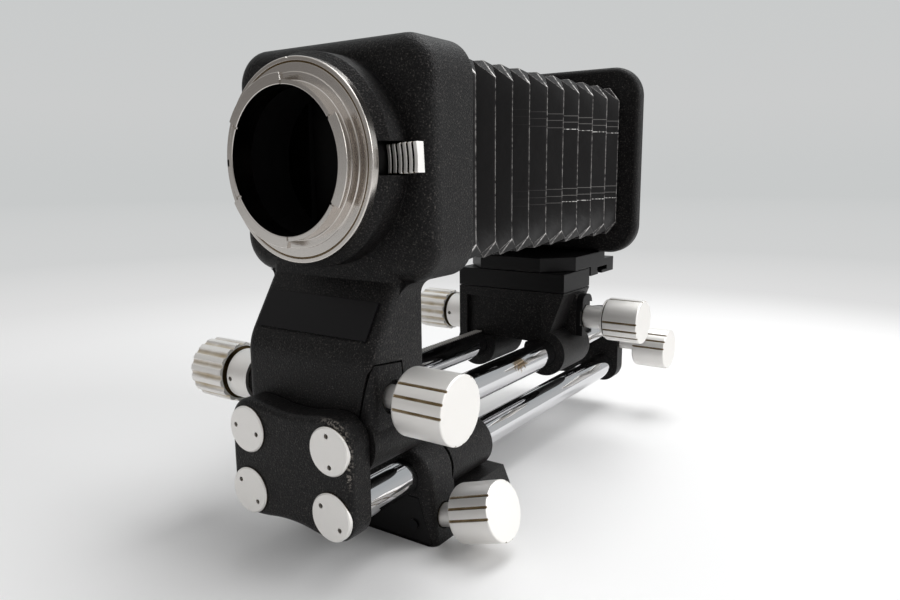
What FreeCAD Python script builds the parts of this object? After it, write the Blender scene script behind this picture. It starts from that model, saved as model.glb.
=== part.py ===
# A macro bellows unit: a camera standard and a lens standard slide on two upper rails, driven by
# rack and pinion, with a folding bellows between them, and a tripod block slides on two lower rails.
# X runs across the rails, Y from the camera end to the lens end, Z up; millimetres throughout.
# The origin is the mouth of the tripod thread, in the face that the unit stands on.
import FreeCAD, Part
import math
import os
from types import SimpleNamespace

import Sketcher

Vector = FreeCAD.Vector
os.makedirs("parts", exist_ok=True)
doc = FreeCAD.newDocument("macro_bellows_unit")
dims = doc.addObject("Spreadsheet::Sheet", "dims")

# ---------------------------------------------------------------- driving dimensions

SIZES = {
    "fits": {
        "press_gap": 0.03,
        "slide_clearance": 0.06,
        "turn_clearance": 0.05,
        "seat_gap": 0.3,
        "groove_gap": 0.5,
        "overcut": 1.0,
    },
    "rails": {
        "rail_radius": 5.6,
        "rail_hollow": 4.0,
        "rail_spread": 33.5,
        "lower_rail_height": 21.4,
        "rail_rise": 19.55,
        "rear_overhang": 57.5,
        "bench_length": 202.3,
    },
    "end_plates": {
        "plate_thickness": 8.0,
        "plate_side_margin": 7.75,
        "plate_top_margin": 9.3,
        "plate_bottom_margin": 7.9,
        "plate_corner": 7.9,
        "plate_edge": 2.0,
        "plate_waist": 1.5,
        "plate_waist_width": 26.0,
        "plate_waist_floor": 8.0,
        "plate_waist_round": 40.0,
    },
    "rail_caps": {
        "cap_radius": 7.2,
        "cap_seat_depth": 2.5,
        "cap_proud": 0.8,
        "cap_chamfer": 0.4,
        "cap_hole_radius": 0.75,
        "cap_hole_offset": 4.5,
        "cap_hole_depth": 1.5,
        "cap_stem_length": 7.0,
    },
    "rack": {
        "tooth_module": 0.5,
        "tooth_addendum": 0.4,
        "tooth_dedendum": 0.6,
        "tooth_backlash": 0.16,
        "pressure_angle": 20.0,
        "rack_width": 3.5,
        "rack_seat": 4.2,
        "rack_proud": 0.05,
        "rack_end_gap": 3.0,
        "rack_slot_gap": 0.35,
        "pinion_width": 3.0,
        "pinion_bore_gap": 0.5,
        "camera_pinion_teeth": 13,
        "lens_pinion_teeth": 20,
        "pinion_shaft_radius": 2.4,
    },
    "accessory_clamp": {
        "accessory_bore": 4.0,
        "accessory_clamp_rise": 1.4,
        "accessory_clamp_inset": 3.6,
        "accessory_tip_radius": 2.0,
        "accessory_collar_radius": 2.4,
        "accessory_groove_turn": 147.0,
        "accessory_knob_radius": 9.2,
        "accessory_knob_length": 15.4,
        "accessory_knob_gap": 8.9,
    },
    "knobs": {
        "spindle_radius": 3.0,
        "knob_chamfer": 0.6,
        "knob_end_wall": 3.0,
        "lock_groove_radius": 0.45,
        "lock_groove_depth": 0.5,
        "lock_groove_pitch": 22.0,
        "lock_groove_clusters": 3,
        "drive_flute_radius": 1.3,
        "drive_flute_depth": 0.75,
        "drive_flutes": 16,
        "sleeve_wall": 1.8,
        "sleeve_hole_radius": 0.8,
        "sleeve_hole_inset": 2.2,
    },
    "standards": {
        "collar_radius": 9.6,
        "neck_half_width": 25.5,
        "neck_edge": 3.0,
        "neck_bend": 15.0,
        "neck_flare": 5.0,
        "clamp_plate_thickness": 3.0,
        "clamp_plate_corner": 4.0,
        "clamp_recess_radius": 7.0,
        "clamp_recess_depth": 1.0,
        "shoe_radius": 2.6,
    },
    "camera_standard": {
        "stand_gap": 0.4,
        "camera_stand_length": 23.6,
        "neck_rise": 25.45,
        "box_rise": 44.95,
        "box_setback": 12.1,
        "box_half_width": 38.0,
        "box_height": 68.4,
        "box_depth": 20.8,
        "box_corner": 11.0,
        "box_edge": 5.0,
        "box_wall": 3.0,
        "box_front_wall": 3.5,
        "box_inner_corner": 4.0,
        "camera_drive_setback": 13.6,
        "camera_boss_radius": 7.0,
        "camera_boss_length": 7.5,
        "camera_sleeve_radius": 8.4,
        "camera_sleeve_length": 9.9,
        "drive_knob_gap": 0.8,
        "camera_drive_knob_radius": 10.3,
        "camera_drive_knob_length": 15.3,
        "camera_lock_setback": 9.6,
        "camera_lock_rise": 12.45,
        "camera_lock_knob_radius": 10.0,
        "camera_lock_knob_length": 16.7,
        "camera_lock_knob_gap": 6.5,
        "camera_lock_collar_radius": 3.5,
        "camera_lock_groove_turn": 156.0,
        "camera_clamp_recess_radius": 5.0,
        "camera_clamp_recess_depth": 1.6,
        "camera_clamp_slit": 0.8,
        "camera_clamp_far": 15.6,
        "camera_clamp_far_top": 13.3,
        "camera_clamp_far_rise": 21.95,
        "camera_clamp_near_top": 1.7,
        "camera_clamp_top": 23.15,
        "camera_clamp_near_rise": 20.0,
        "camera_clamp_bottom": 5.85,
        "camera_clamp_foot": 5.0,
        "camera_clamp_tip": 0.5,
        "name_plate_half_width": 22.0,
        "name_plate_start": 4.7,
        "name_plate_length": 12.0,
        "name_plate_thickness": 0.8,
    },
    "camera_mount": {
        "boss_radius": 30.4,
        "boss_height": 9.8,
        "boss_bevel": 2.8,
        "turret_radius": 25.4,
        "turret_bore": 21.6,
        "flange_radius": 28.5,
        "flange_thickness": 2.6,
        "barrel_radius": 21.85,
        "barrel_length": 4.6,
        "lug_radius": 23.8,
        "lug_thickness": 1.5,
        "lug_angle": 62.0,
        "mount_bore": 20.55,
        "retainer_radius": 28.0,
        "retainer_thickness": 2.0,
        "lugs": 3,
        "mount_screws": 4,
        "mount_screw_turn": 45.0,
        "mount_screw_radius": 1.1,
        "mount_screw_head": 2.0,
        "mount_screw_head_height": 1.2,
        "mount_screw_circle": 23.5,
        "mount_screw_depth": 1.3,
    },
    "release_button": {
        "button_start": 25.8,
        "button_length": 10.2,
        "button_bevel": 0.6,
        "button_height": 8.2,
        "button_lift": 0.65,
        "button_depth": 3.3,
        "button_rib_pitch": 1.79,
        "button_groove_width": 0.6,
        "button_groove_depth": 0.8,
        "button_grooves": 5,
        "button_slot_gap": 0.4,
        "button_stem_offset": 1.2,
        "button_stem_length": 3.0,
        "button_stem_height": 4.0,
        "button_stem_depth": 2.2,
        "button_spring_length": 4.6,
        "button_spring_radius": 1.0,
    },
    "bellows": {
        "bellows_side_margin": 4.0,
        "bellows_top_margin": 3.5,
        "bellows_chamfer_x": 4.5,
        "bellows_chamfer_z": 5.5,
        "pleat_depth": 6.5,
        "pleat_count": 10,
        "first_pleat_offset": 8.0,
        "last_pleat_offset": 2.0,
        "bellows_wall": 1.2,
        "bellows_frame_thickness": 2.0,
        "bellows_frame_opening": 25.0,
    },
    "lens_standard": {
        "standards_gap": 88.7,
        "lens_stand_length": 25.5,
        "lens_deck_rise": 25.95,
        "lens_deck_edge": 0.5,
        "lens_waist": 6.1,
        "lens_waist_rise": 9.4,
        "lens_face_recess": 2.0,
        "lens_face_margin": 4.0,
        "lens_drive_inset": 8.0,
        "lens_boss_radius": 7.0,
        "lens_boss_length": 4.6,
        "lens_sleeve_radius": 8.0,
        "lens_sleeve_length": 9.8,
        "lens_drive_knob_radius": 9.4,
        "lens_drive_knob_length": 15.3,
        "lens_lock_inset": 6.8,
        "lens_lock_rise": 13.95,
        "lens_lock_knob_radius": 8.95,
        "lens_lock_knob_length": 15.9,
        "lens_lock_knob_gap": 8.4,
        "lens_lock_collar_radius": 4.8,
        "lens_lock_groove_turn": 200.0,
        "lens_clamp_near": 12.4,
        "lens_clamp_far": 22.2,
        "lens_clamp_top": 23.9,
        "lens_clamp_bottom": 6.4,
    },
    "swing_and_shift": {
        "swing_plate_thickness": 7.7,
        "pivot_inset": 7.0,
        "pivot_radius": 5.0,
        "pivot_head_radius": 8.0,
        "pivot_head_height": 2.5,
        "pivot_depth": 8.0,
        "tongue_half_width": 15.0,
        "tongue_length": 20.5,
        "tongue_thickness": 3.6,
        "dovetail_start": 9.5,
        "dovetail_neck": 4.4,
        "dovetail_head": 11.0,
        "dovetail_head_back": 1.0,
        "dovetail_lip": 1.3,
        "dovetail_head_height": 1.9,
        "dovetail_gap": 0.25,
        "shift_deck_thickness": 5.8,
        "shift_nose_half_width": 14.4,
        "shift_nose_length": 11.1,
        "shift_block_gap": 1.5,
        "shift_block_length": 15.0,
        "shift_lip_length": 10.5,
        "shift_lip_step": 3.6,
    },
    "lens_frame": {
        "frame_plate_inset": 9.0,
        "frame_plate_thickness": 6.5,
        "frame_plate_half_width": 42.2,
        "frame_plate_height": 78.6,
        "frame_plate_corner": 12.5,
        "frame_plate_edge": 2.2,
        "frame_window_radius": 24.0,
        "lens_ring_radius": 31.0,
        "lens_ring_depth": 5.0,
        "lens_ring_bore": 22.0,
        "lens_ring_step_radius": 24.5,
        "lens_ring_step_depth": 2.0,
        "ring_screws": 5,
        "ring_screw_turn": 90.0,
        "ring_screw_circle": 27.8,
        "ring_screw_radius": 1.0,
        "ring_screw_head": 1.7,
        "ring_screw_head_depth": 1.2,
        "ring_screw_length": 7.0,
        "lens_button_offset": 36.3,
        "lens_button_radius": 2.8,
        "lens_button_length": 6.5,
        "lens_button_proud": 5.0,
        "lens_button_travel": 2.0,
        "lens_button_spring_radius": 2.0,
    },
    "levers": {
        "lever_hub_radius": 3.6,
        "lever_thickness": 3.2,
        "lever_length": 13.0,
        "lever_width": 4.4,
        "lever_stud_radius": 1.8,
        "lever_stud_length": 5.0,
        "swing_lever_offset": 13.0,
        "swing_lever_drop": 8.5,
        "shift_lever_offset": 14.0,
    },
    "tripod_block": {
        "block_near": 24.4,
        "block_far": 25.8,
        "block_collar_far": 14.5,
        "block_foot_length": 13.6,
        "block_base_half": 28.6,
        "block_shoulder_half": 26.3,
        "block_edge": 3.0,
        "block_flange_half": 28.2,
        "block_flange_top": 12.9,
        "block_flange_flat": 6.8,
        "block_flange_toe": 0.5,
        "block_flange_toe_height": 1.7,
        "block_web_rise": 3.0,
        "block_slit_offset": 13.6,
        "block_slit_width": 1.2,
        "block_slit_foot": 3.4,
        "cover_depth": 1.6,
        "cover_thickness": 1.3,
        "cover_margin": 1.0,
        "cover_gap": 0.35,
        "cover_bottom": 0.2,
        "cover_top": 15.6,
        "cover_slant": 5.1,
        "cover_screw_inset": 7.2,
        "cover_screw_height": 6.1,
        "cover_screw_radius": 0.9,
        "cover_screw_head": 1.7,
        "cover_screw_head_height": 0.6,
        "cover_screw_length": 1.8,
        "tripod_lock_inset": 7.0,
        "tripod_lock_height": 11.0,
        "tripod_lock_gap": 6.7,
        "tripod_lock_tilt": 18.0,
        "tripod_lock_tip": 3.2,
        "tripod_lock_knob_radius": 9.4,
        "tripod_lock_knob_length": 14.95,
        "tripod_lock_collar_radius": 3.8,
        "tripod_lock_groove_turn": 152.0,
        "tripod_lock_recess_radius": 4.3,
        "tripod_lock_recess_inset": 10.0,
        "spindle_reach": 11.0,
        "insert_radius": 7.0,
        "insert_height": 10.0,
        "thread_radius": 3.175,
        "thread_depth": 8.5,
    },
}


class Size:
    """A number together with the sheet expression that it comes from."""

    def __init__(self, value, text):
        self.value = value
        self.text = text

    def __float__(self):
        return float(self.value)

    def __add__(self, other):
        return Size(float(self) + float(other), "(%s + %s)" % (text_of(self), text_of(other)))

    def __radd__(self, other):
        return Size(float(other) + float(self), "(%s + %s)" % (text_of(other), text_of(self)))

    def __sub__(self, other):
        return Size(float(self) - float(other), "(%s - %s)" % (text_of(self), text_of(other)))

    def __rsub__(self, other):
        return Size(float(other) - float(self), "(%s - %s)" % (text_of(other), text_of(self)))

    def __mul__(self, other):
        return Size(float(self) * float(other), "(%s * %s)" % (text_of(self), text_of(other)))

    def __rmul__(self, other):
        return Size(float(other) * float(self), "(%s * %s)" % (text_of(other), text_of(self)))

    def __truediv__(self, other):
        return Size(float(self) / float(other), "(%s / %s)" % (text_of(self), text_of(other)))

    def __neg__(self):
        return Size(-float(self), "(0 - %s)" % text_of(self))


def text_of(amount):
    """The expression text of a Size, or of a plain number."""
    return amount.text if isinstance(amount, Size) else "%.6f" % float(amount)


def root(amount):
    return Size(math.sqrt(float(amount)), "sqrt(%s)" % text_of(amount))


def cosine(angle):
    return Size(math.cos(math.radians(float(angle))), "cos(%s)" % text_of(angle))


def sine(angle):
    return Size(math.sin(math.radians(float(angle))), "sin(%s)" % text_of(angle))


d = SimpleNamespace()
row = 0
for heading, sizes in SIZES.items():
    row += 1
    dims.set("A%d" % row, heading)
    for name, number in sizes.items():
        row += 1
        dims.set("A%d" % row, name)
        dims.set("B%d" % row, str(number))
        dims.setAlias("B%d" % row, name)
        setattr(d, name, Size(number, "dims." + name))
doc.recompute()

# Cutting tools, and pieces that are fused, reach this far past the faces where they meet.
PAST = d.overcut

# ---------------------------------------------------------------- construction helpers

TURNS = {
    "x": FreeCAD.Rotation(Vector(0, 1, 0), 90),
    "y": FreeCAD.Rotation(Vector(1, 0, 0), -90),
    "z": FreeCAD.Rotation(),
}
nodes = []


def bind(thing, path, amount):
    """Tie one property of an object to the sheet."""
    thing.setExpression(path, text_of(amount))


def place(thing, x, y, z):
    for axis, amount in zip("xyz", (x, y, z)):
        bind(thing, "Placement.Base." + axis, amount)


def keep(thing, label):
    """Name a finished piece and put it on the list of pieces to write."""
    thing.Label = label
    nodes.append(thing)
    return thing


def block(name, x, y, z):
    """A rectangular block between the low and high values of x, y and z."""
    thing = doc.addObject("Part::Box", name)
    bind(thing, "Length", x[1] - x[0])
    bind(thing, "Width", y[1] - y[0])
    bind(thing, "Height", z[1] - z[0])
    place(thing, x[0], y[0], z[0])
    return thing


def rod(name, axis, radius, span, centre):
    """A cylinder along an axis between two values, at the other two coordinates of its centre."""
    thing = doc.addObject("Part::Cylinder", name)
    thing.Placement = FreeCAD.Placement(Vector(), TURNS[axis])
    bind(thing, "Radius", radius)
    bind(thing, "Height", span[1] - span[0])
    spots = list(centre)
    spots.insert("xyz".index(axis), span[0])
    place(thing, *spots)
    return thing


def lean(thing, way, turn, x, y, z):
    """Place a piece turned about Y: from Z towards X (way 1), or from X towards Z (way -1)."""
    thing.Placement = FreeCAD.Placement(Vector(), FreeCAD.Rotation(Vector(0, way, 0), float(turn)))
    bind(thing, "Placement.Rotation.Angle", turn)
    place(thing, x, y, z)
    return thing


def fuse(name, *things):
    thing = doc.addObject("Part::MultiFuse", name)
    thing.Shapes = list(things)
    thing.Refine = True
    return thing


def cut(name, base, *tools):
    thing = doc.addObject("Part::Cut", name)
    thing.Base = base
    thing.Tool = tools[0] if len(tools) == 1 else fuse(name + "_cutters", *tools)
    thing.Refine = True
    return thing


def common(name, first, second):
    thing = doc.addObject("Part::Common", name)
    thing.Base = first
    thing.Tool = second
    return thing


def group(name, things):
    """Like pieces that share one node as separate solids."""
    thing = doc.addObject("Part::Compound", name)
    thing.Links = list(things)
    return thing


def origin_part(body, role):
    """One of a body's own origin planes or axes."""
    return [part for part in body.Origin.OriginFeatures if part.Role == role][0]


def new_sketch(body, plane, offset=0.0):
    """An empty sketch on one of a body's origin planes, moved along its normal."""
    sketch = body.newObject("Sketcher::SketchObject", body.Name + "_sketch")
    sketch.AttachmentSupport = (origin_part(body, plane + "_Plane"), [""])
    sketch.MapMode = "FlatFace"
    bind(sketch, "AttachmentOffset.Base.z", offset)
    return sketch


def locate_point(sketch, geometry, point, u, v):
    """Fix one point of a sketch at u across and v up from the sketch's origin."""
    for kind, amount, axis in (("DistanceX", u, -2), ("DistanceY", v, -1)):
        if float(amount) == 0.0 and not isinstance(amount, Size):
            sketch.addConstraint(Sketcher.Constraint("PointOnObject", geometry, point, axis))
        else:
            constraint = Sketcher.Constraint(kind, -1, 1, geometry, point, float(amount))
            index = sketch.addConstraint(constraint)
            bind(sketch, "Constraints[%d]" % index, amount)


def draw_outline(sketch, points):
    """A closed outline of straight lines through (u, v) points."""
    corners = [Vector(float(u), float(v), 0) for u, v in points]
    count = len(points)
    for k in range(count):
        sketch.addGeometry(Part.LineSegment(corners[k], corners[(k + 1) % count]))
    for k in range(count):
        sketch.addConstraint(Sketcher.Constraint("Coincident", k, 2, (k + 1) % count, 1))
    for k, (u, v) in enumerate(points):
        locate_point(sketch, k, 1, u, v)


def draw_circles(sketch, circles):
    """Circles given as (u, v, radius)."""
    for k, (u, v, radius) in enumerate(circles):
        centre = Vector(float(u), float(v), 0)
        sketch.addGeometry(Part.Circle(centre, Vector(0, 0, 1), float(radius)))
        locate_point(sketch, k, 3, u, v)
        index = sketch.addConstraint(Sketcher.Constraint("Radius", k, float(radius)))
        bind(sketch, "Constraints[%d]" % index, radius)


def prism(name, plane, points, span):
    """A body padded from an outline in a plane, between two values along the plane's normal."""
    body = doc.addObject("PartDesign::Body", name)
    flipped = plane == "XZ"
    sketch = new_sketch(body, plane, -span[0] if flipped else span[0])
    draw_outline(sketch, points)
    pad = body.newObject("PartDesign::Pad", name + "_pad")
    pad.Profile = (sketch, [""])
    bind(pad, "Length", span[1] - span[0])
    pad.Reversed = flipped
    return body


def turned(name, axis, profile):
    """A body turned about an axis through its origin, from (along, radius) points."""
    body = doc.addObject("PartDesign::Body", name)
    add_turn(body, axis, profile)
    return body


def add_turn(body, axis, profile, angle=360.0):
    """Add a turned form to a body; under a full turn it is centred on the sketch plane."""
    plane = "XZ" if axis == "z" else "XY"
    sketch = new_sketch(body, plane)
    points = [(along, radius) if axis == "x" else (radius, along) for along, radius in profile]
    draw_outline(sketch, points)
    feature = body.newObject("PartDesign::Revolution", body.Name + "_turn")
    feature.Profile = (sketch, [""])
    feature.ReferenceAxis = (origin_part(body, axis.upper() + "_Axis"), [""])
    bind(feature, "Angle", angle)
    feature.Midplane = not (isinstance(angle, float) and angle == 360.0)
    return feature


def add_pocket(body, plane, circles):
    """Cut circles right through a body."""
    sketch = new_sketch(body, plane)
    draw_circles(sketch, circles)
    pocket = body.newObject("PartDesign::Pocket", body.Name + "_pocket")
    pocket.Profile = (sketch, [""])
    pocket.Type = "ThroughAll"
    pocket.Midplane = True
    return pocket


def repeat_round(body, feature, axis, copies):
    """Repeat a feature around a body's own axis."""
    pattern = body.newObject("PartDesign::PolarPattern", body.Name + "_round")
    pattern.Originals = [feature]
    pattern.Axis = (origin_part(body, axis.upper() + "_Axis"), [""])
    pattern.Angle = 360
    bind(pattern, "Occurrences", copies)
    body.Tip = pattern


def along(axis, *tests):
    """A test that picks straight edges along an axis, where the further tests hold at the middle."""
    way = {"x": Vector(1, 0, 0), "y": Vector(0, 1, 0), "z": Vector(0, 0, 1)}[axis]

    def pick(edge):
        if not isinstance(edge.Curve, Part.Line):
            return False
        if abs(abs(edge.tangentAt(edge.FirstParameter).dot(way)) - 1) > 1e-6:
            return False
        middle = edge.CenterOfMass
        return all(test(middle) for test in tests)

    return pick


def flat_on(axis, level, *tests):
    """A test that picks edges lying in the plane where an axis has a given value."""
    def pick(edge):
        box = edge.BoundBox
        low, high = {"x": (box.XMin, box.XMax), "y": (box.YMin, box.YMax), "z": (box.ZMin, box.ZMax)}[axis]
        near = abs(low - float(level)) < 1e-4 and abs(high - float(level)) < 1e-4
        return near and all(test(edge.CenterOfMass) for test in tests)

    return pick


def soften(body, radius, pick):
    """Round the picked edges of a body's last feature."""
    doc.recompute()
    base = body.Tip
    names = ["Edge%d" % (k + 1) for k, edge in enumerate(base.Shape.Edges) if pick(edge)]
    feature = body.newObject("PartDesign::Fillet", body.Name + "_round_edge")
    feature.Base = (base, names)
    bind(feature, "Radius", radius)
    body.Tip = feature
    return body


def soften_solid(name, base, radius, pick):
    """Round the picked edges of a boolean result."""
    doc.recompute()
    thing = doc.addObject("Part::Fillet", name)
    thing.Base = base
    chosen = [k + 1 for k, edge in enumerate(base.Shape.Edges) if pick(edge)]
    thing.Edges = [(k, float(radius), float(radius)) for k in chosen]
    return thing


# ---------------------------------------------------------------- places shared by many pieces

rear_face = -d.rear_overhang
front_face = rear_face + d.bench_length
rear_inner = rear_face + d.plate_thickness
front_inner = front_face - d.plate_thickness
upper_height = d.lower_rail_height + d.rail_rise
left_x = -d.rail_spread / 2
right_x = d.rail_spread / 2
rail_bore = d.rail_radius + d.slide_clearance

rack_tip = upper_height + d.rail_radius + d.rack_proud
pitch_line = rack_tip - d.tooth_addendum
camera_pinion_radius = d.camera_pinion_teeth * d.tooth_module / 2
lens_pinion_radius = d.lens_pinion_teeth * d.tooth_module / 2

camera_near = rear_inner + d.stand_gap
camera_far = camera_near + d.camera_stand_length
neck_side_reach = d.neck_half_width - right_x
neck_bottom = upper_height + root(d.collar_radius * d.collar_radius - neck_side_reach * neck_side_reach)
slope_start = upper_height + d.neck_rise
box_bottom = upper_height + d.box_rise
box_top = box_bottom + d.box_height
box_near = camera_near + d.box_setback
box_far = box_near + d.box_depth
mount_height = box_bottom + d.box_height / 2
bellows_half_width = d.box_half_width - d.bellows_side_margin
bellows_half_height = d.box_height / 2 - d.bellows_top_margin
camera_drive_y = camera_near + d.camera_drive_setback
camera_drive_z = pitch_line + camera_pinion_radius
camera_lock_y = camera_near + d.camera_lock_setback
camera_lock_z = upper_height + d.camera_lock_rise

lens_near = box_far + d.standards_gap
lens_far = lens_near + d.lens_stand_length
deck_top = upper_height + d.lens_deck_rise
lens_drive_y = lens_far - d.lens_drive_inset
lens_drive_z = pitch_line + lens_pinion_radius
lens_lock_y = lens_far - d.lens_lock_inset
lens_lock_z = upper_height + d.lens_lock_rise

swing_bottom = deck_top + d.seat_gap
swing_top = swing_bottom + d.swing_plate_thickness
pivot_y = lens_far - d.pivot_inset
tongue_top = swing_bottom + d.tongue_thickness
dovetail_y = lens_far + d.dovetail_start
shift_bottom = swing_top + d.seat_gap
shift_top = shift_bottom + d.shift_deck_thickness
shift_block_near = lens_far + d.shift_block_gap
shift_block_far = shift_block_near + d.shift_block_length
shift_block_bottom = tongue_top + d.seat_gap
shift_lip_far = shift_block_far + d.shift_lip_length
frame_near = lens_far + d.frame_plate_inset
frame_far = frame_near + d.frame_plate_thickness


# ---------------------------------------------------------------- shared forms

def knob(name, facing, radius, length, start, centre, flutes, flute_radius, depth, copies):
    """A turned knob on a blind bore, facing +X or -X, with flutes milled along its rim.

    The flutes are angles about the knob's axis, repeated evenly a number of times."""
    chamfer = d.knob_chamfer
    bore = d.spindle_radius
    profile = [(0.0, bore), (0.0, radius - chamfer), (chamfer, radius), (length - chamfer, radius),
               (length, radius - chamfer), (length, 0.0), (length - d.knob_end_wall, 0.0),
               (length - d.knob_end_wall, bore)]
    body = turned(name, "x", [(facing * s, r) for s, r in profile])
    reach = radius + flute_radius - depth
    circles = [(reach * cosine(a), reach * sine(a), flute_radius) for a in flutes]
    pocket = add_pocket(body, "YZ", circles)
    repeat_round(body, pocket, "x", copies)
    place(body, start, *centre)
    return keep(body, name)


def lock_knob(name, radius, length, start, centre, turn):
    """A clamp knob with clusters of three narrow grooves, one cluster at a given turn from Y."""
    pitch = d.lock_groove_pitch
    flutes = [turn - pitch, turn, turn + pitch]
    return knob(name, 1, radius, length, start, centre, flutes,
                d.lock_groove_radius, d.lock_groove_depth, d.lock_groove_clusters)


def drive_knob(name, radius, length, start, centre):
    """A focusing knob, facing left, with shallow flutes all round."""
    return knob(name, -1, radius, length, start, centre, [0.0],
                d.drive_flute_radius, d.drive_flute_depth, d.drive_flutes)


def lock_spindle(name, tip, seat, knob_start, knob_length, centre, collar, tip_radius=d.spindle_radius):
    """A clamp spindle along X: a plain tip in the casting, a collar, and a stem inside the knob."""
    stem_end = knob_start + knob_length - d.knob_end_wall
    radius = d.spindle_radius
    shank = tip_radius - d.turn_clearance
    profile = [(tip, 0.0), (tip, shank), (seat, shank),
               (seat, collar), (knob_start, collar),
               (knob_start, radius - d.press_gap), (stem_end, radius - d.press_gap), (stem_end, 0.0)]
    body = turned(name, "x", profile)
    place(body, 0.0, *centre)
    return keep(body, name)


def tooth_outline(pitch_radius, teeth, centre_y, centre_z, rack_phase):
    """The closed outline of a pinion, with involute flanks and a tooth gap over each rack tooth."""
    module = float(d.tooth_module)
    pressure = math.radians(float(d.pressure_angle))
    base = pitch_radius * math.cos(pressure)
    tip = pitch_radius + float(d.tooth_addendum)
    foot = pitch_radius - float(d.tooth_dedendum)
    half = (math.pi * module / 2 - float(d.tooth_backlash) / 2) / 2 / pitch_radius
    involute_at_pitch = math.tan(pressure) - pressure

    def half_angle(radius):
        slope = math.acos(min(1.0, base / max(radius, base)))
        return half + involute_at_pitch - (math.tan(slope) - slope)

    radii = [foot, max(base, foot), pitch_radius, (pitch_radius + tip) / 2, tip]
    points = []
    for k in range(teeth):
        middle = -math.pi / 2 + (k + 0.5) * 2 * math.pi / teeth + rack_phase / pitch_radius
        flank = [(radius, middle - half_angle(radius)) for radius in radii]
        flank += [(radius, middle + half_angle(radius)) for radius in reversed(radii)]
        points += [Vector(0, centre_y + r * math.cos(a), centre_z + r * math.sin(a)) for r, a in flank]
    return points


def prism_along_x(points, start, width):
    """A solid from a closed outline in a plane across X."""
    shifted = [point + Vector(start - point.x, 0, 0) for point in points]
    return Part.Face(Part.makePolygon(shifted + shifted[:1])).extrude(Vector(width, 0, 0))


def pinion_shaft(name, pitch_radius, teeth, y, z, knob_start, knob_length):
    """A steel shaft with the pinion cut in one piece with it, ending inside the drive knob."""
    width = float(d.pinion_width)
    rack_start = float(rear_inner + d.rack_end_gap)
    pitch = math.pi * float(d.tooth_module)
    phase = (float(y) - rack_start + pitch / 2) % pitch - pitch / 2
    outline = tooth_outline(float(pitch_radius), teeth, float(y), float(z), -phase)
    gear = prism_along_x(outline, float(left_x) - width / 2, width)
    stem_end = float(knob_start - knob_length + d.knob_end_wall)
    shaft_end = float(left_x) + width / 2 + float(d.spindle_reach) / 2
    bearing = float(d.pinion_shaft_radius - d.turn_clearance)
    stem = float(d.spindle_radius - d.press_gap)
    shaft = Part.makeCylinder(bearing, shaft_end - float(knob_start),
                              Vector(float(knob_start), float(y), float(z)), Vector(1, 0, 0))
    tail = Part.makeCylinder(stem, float(knob_start) - stem_end,
                             Vector(stem_end, float(y), float(z)), Vector(1, 0, 0))
    thing = doc.addObject("Part::Feature", name)
    thing.Shape = gear.fuse([shaft, tail]).removeSplitter()
    return keep(thing, name)


def drive_sleeve(name, radius, length, start, y, z):
    """The plain bearing sleeve behind a drive knob, with two holes for a pin wrench in its rim."""
    end = start - length
    bore = d.pinion_shaft_radius
    chamfer = d.knob_chamfer
    profile = [(start, bore), (start, radius), (end + chamfer, radius), (end, radius - chamfer),
               (end, radius - d.sleeve_wall), (end + d.sleeve_wall, radius - d.sleeve_wall),
               (end + d.sleeve_wall, bore)]
    body = turned(name + "_turned", "x", profile)
    place(body, 0.0, y, z)
    hole_x = end + d.sleeve_hole_inset
    span = (y - radius - PAST, y - radius + d.sleeve_wall + PAST)
    hole = rod(name + "_hole", "y", d.sleeve_hole_radius, span, (hole_x, z))
    return keep(cut(name, body, hole), name)


def pinion_cutters(name, pitch_radius, y, z, side):
    """The bore for a pinion shaft and the pocket that the pinion turns in."""
    pocket = pitch_radius + d.tooth_addendum + d.pinion_bore_gap
    half = d.pinion_width / 2 + d.seat_gap
    shaft_end = left_x + d.pinion_width / 2 + d.spindle_reach / 2 + d.seat_gap
    return [
        rod(name + "_shaft_bore", "x", d.pinion_shaft_radius, (side, shaft_end), (y, z)),
        rod(name + "_pinion_pocket", "x", pocket, (left_x - half, left_x + half), (y, z)),
    ]


def rail_cutters(name, near, far):
    """The running bores for both upper rails, with a slot over the rack."""
    slot_half = d.rack_width / 2 + d.rack_slot_gap
    span = (near - PAST, far + PAST)
    return [
        rod(name + "_left_bore", "y", rail_bore, span, (left_x, upper_height)),
        rod(name + "_right_bore", "y", rail_bore, span, (right_x, upper_height)),
        block(name + "_rack_slot", (left_x - slot_half, left_x + slot_half), span,
              (upper_height, rack_tip + d.rack_slot_gap)),
    ]


def clamp_plate(name, near, far, bottom, top, outer, spindle_y, spindle_z):
    """The pressure plate of a rail clamp, with a round recess for the spindle's collar."""
    inner = outer - d.clamp_plate_thickness
    body = prism(name + "_blank", "YZ", [(near, bottom), (far, bottom), (far, top), (near, top)],
                 (inner, outer))
    soften(body, d.clamp_plate_corner, along("x", lambda c: c.z > float(top) - 0.01))
    bore = d.spindle_radius + d.seat_gap
    hole = rod(name + "_hole", "x", bore, (inner - PAST, outer + PAST), (spindle_y, spindle_z))
    recess = rod(name + "_recess", "x", d.clamp_recess_radius,
                 (outer - d.clamp_recess_depth, outer + PAST), (spindle_y, spindle_z))
    return keep(cut(name, body, hole, recess), name)


def clamp_shoe(name, y, low, high):
    """A brass pin that a spindle presses onto a rail."""
    shoe = rod(name, "z", d.shoe_radius - d.press_gap, (low, high), (right_x, y))
    return keep(shoe, name)


# ---------------------------------------------------------------- rails, end plates and rack

# The angles at which the wrench holes of each cap came to rest, in degrees from X.
REAR_CAP_TURNS = (170, 95, 141, 141)
FRONT_CAP_TURNS = (20, 75, 110, 155)


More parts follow.
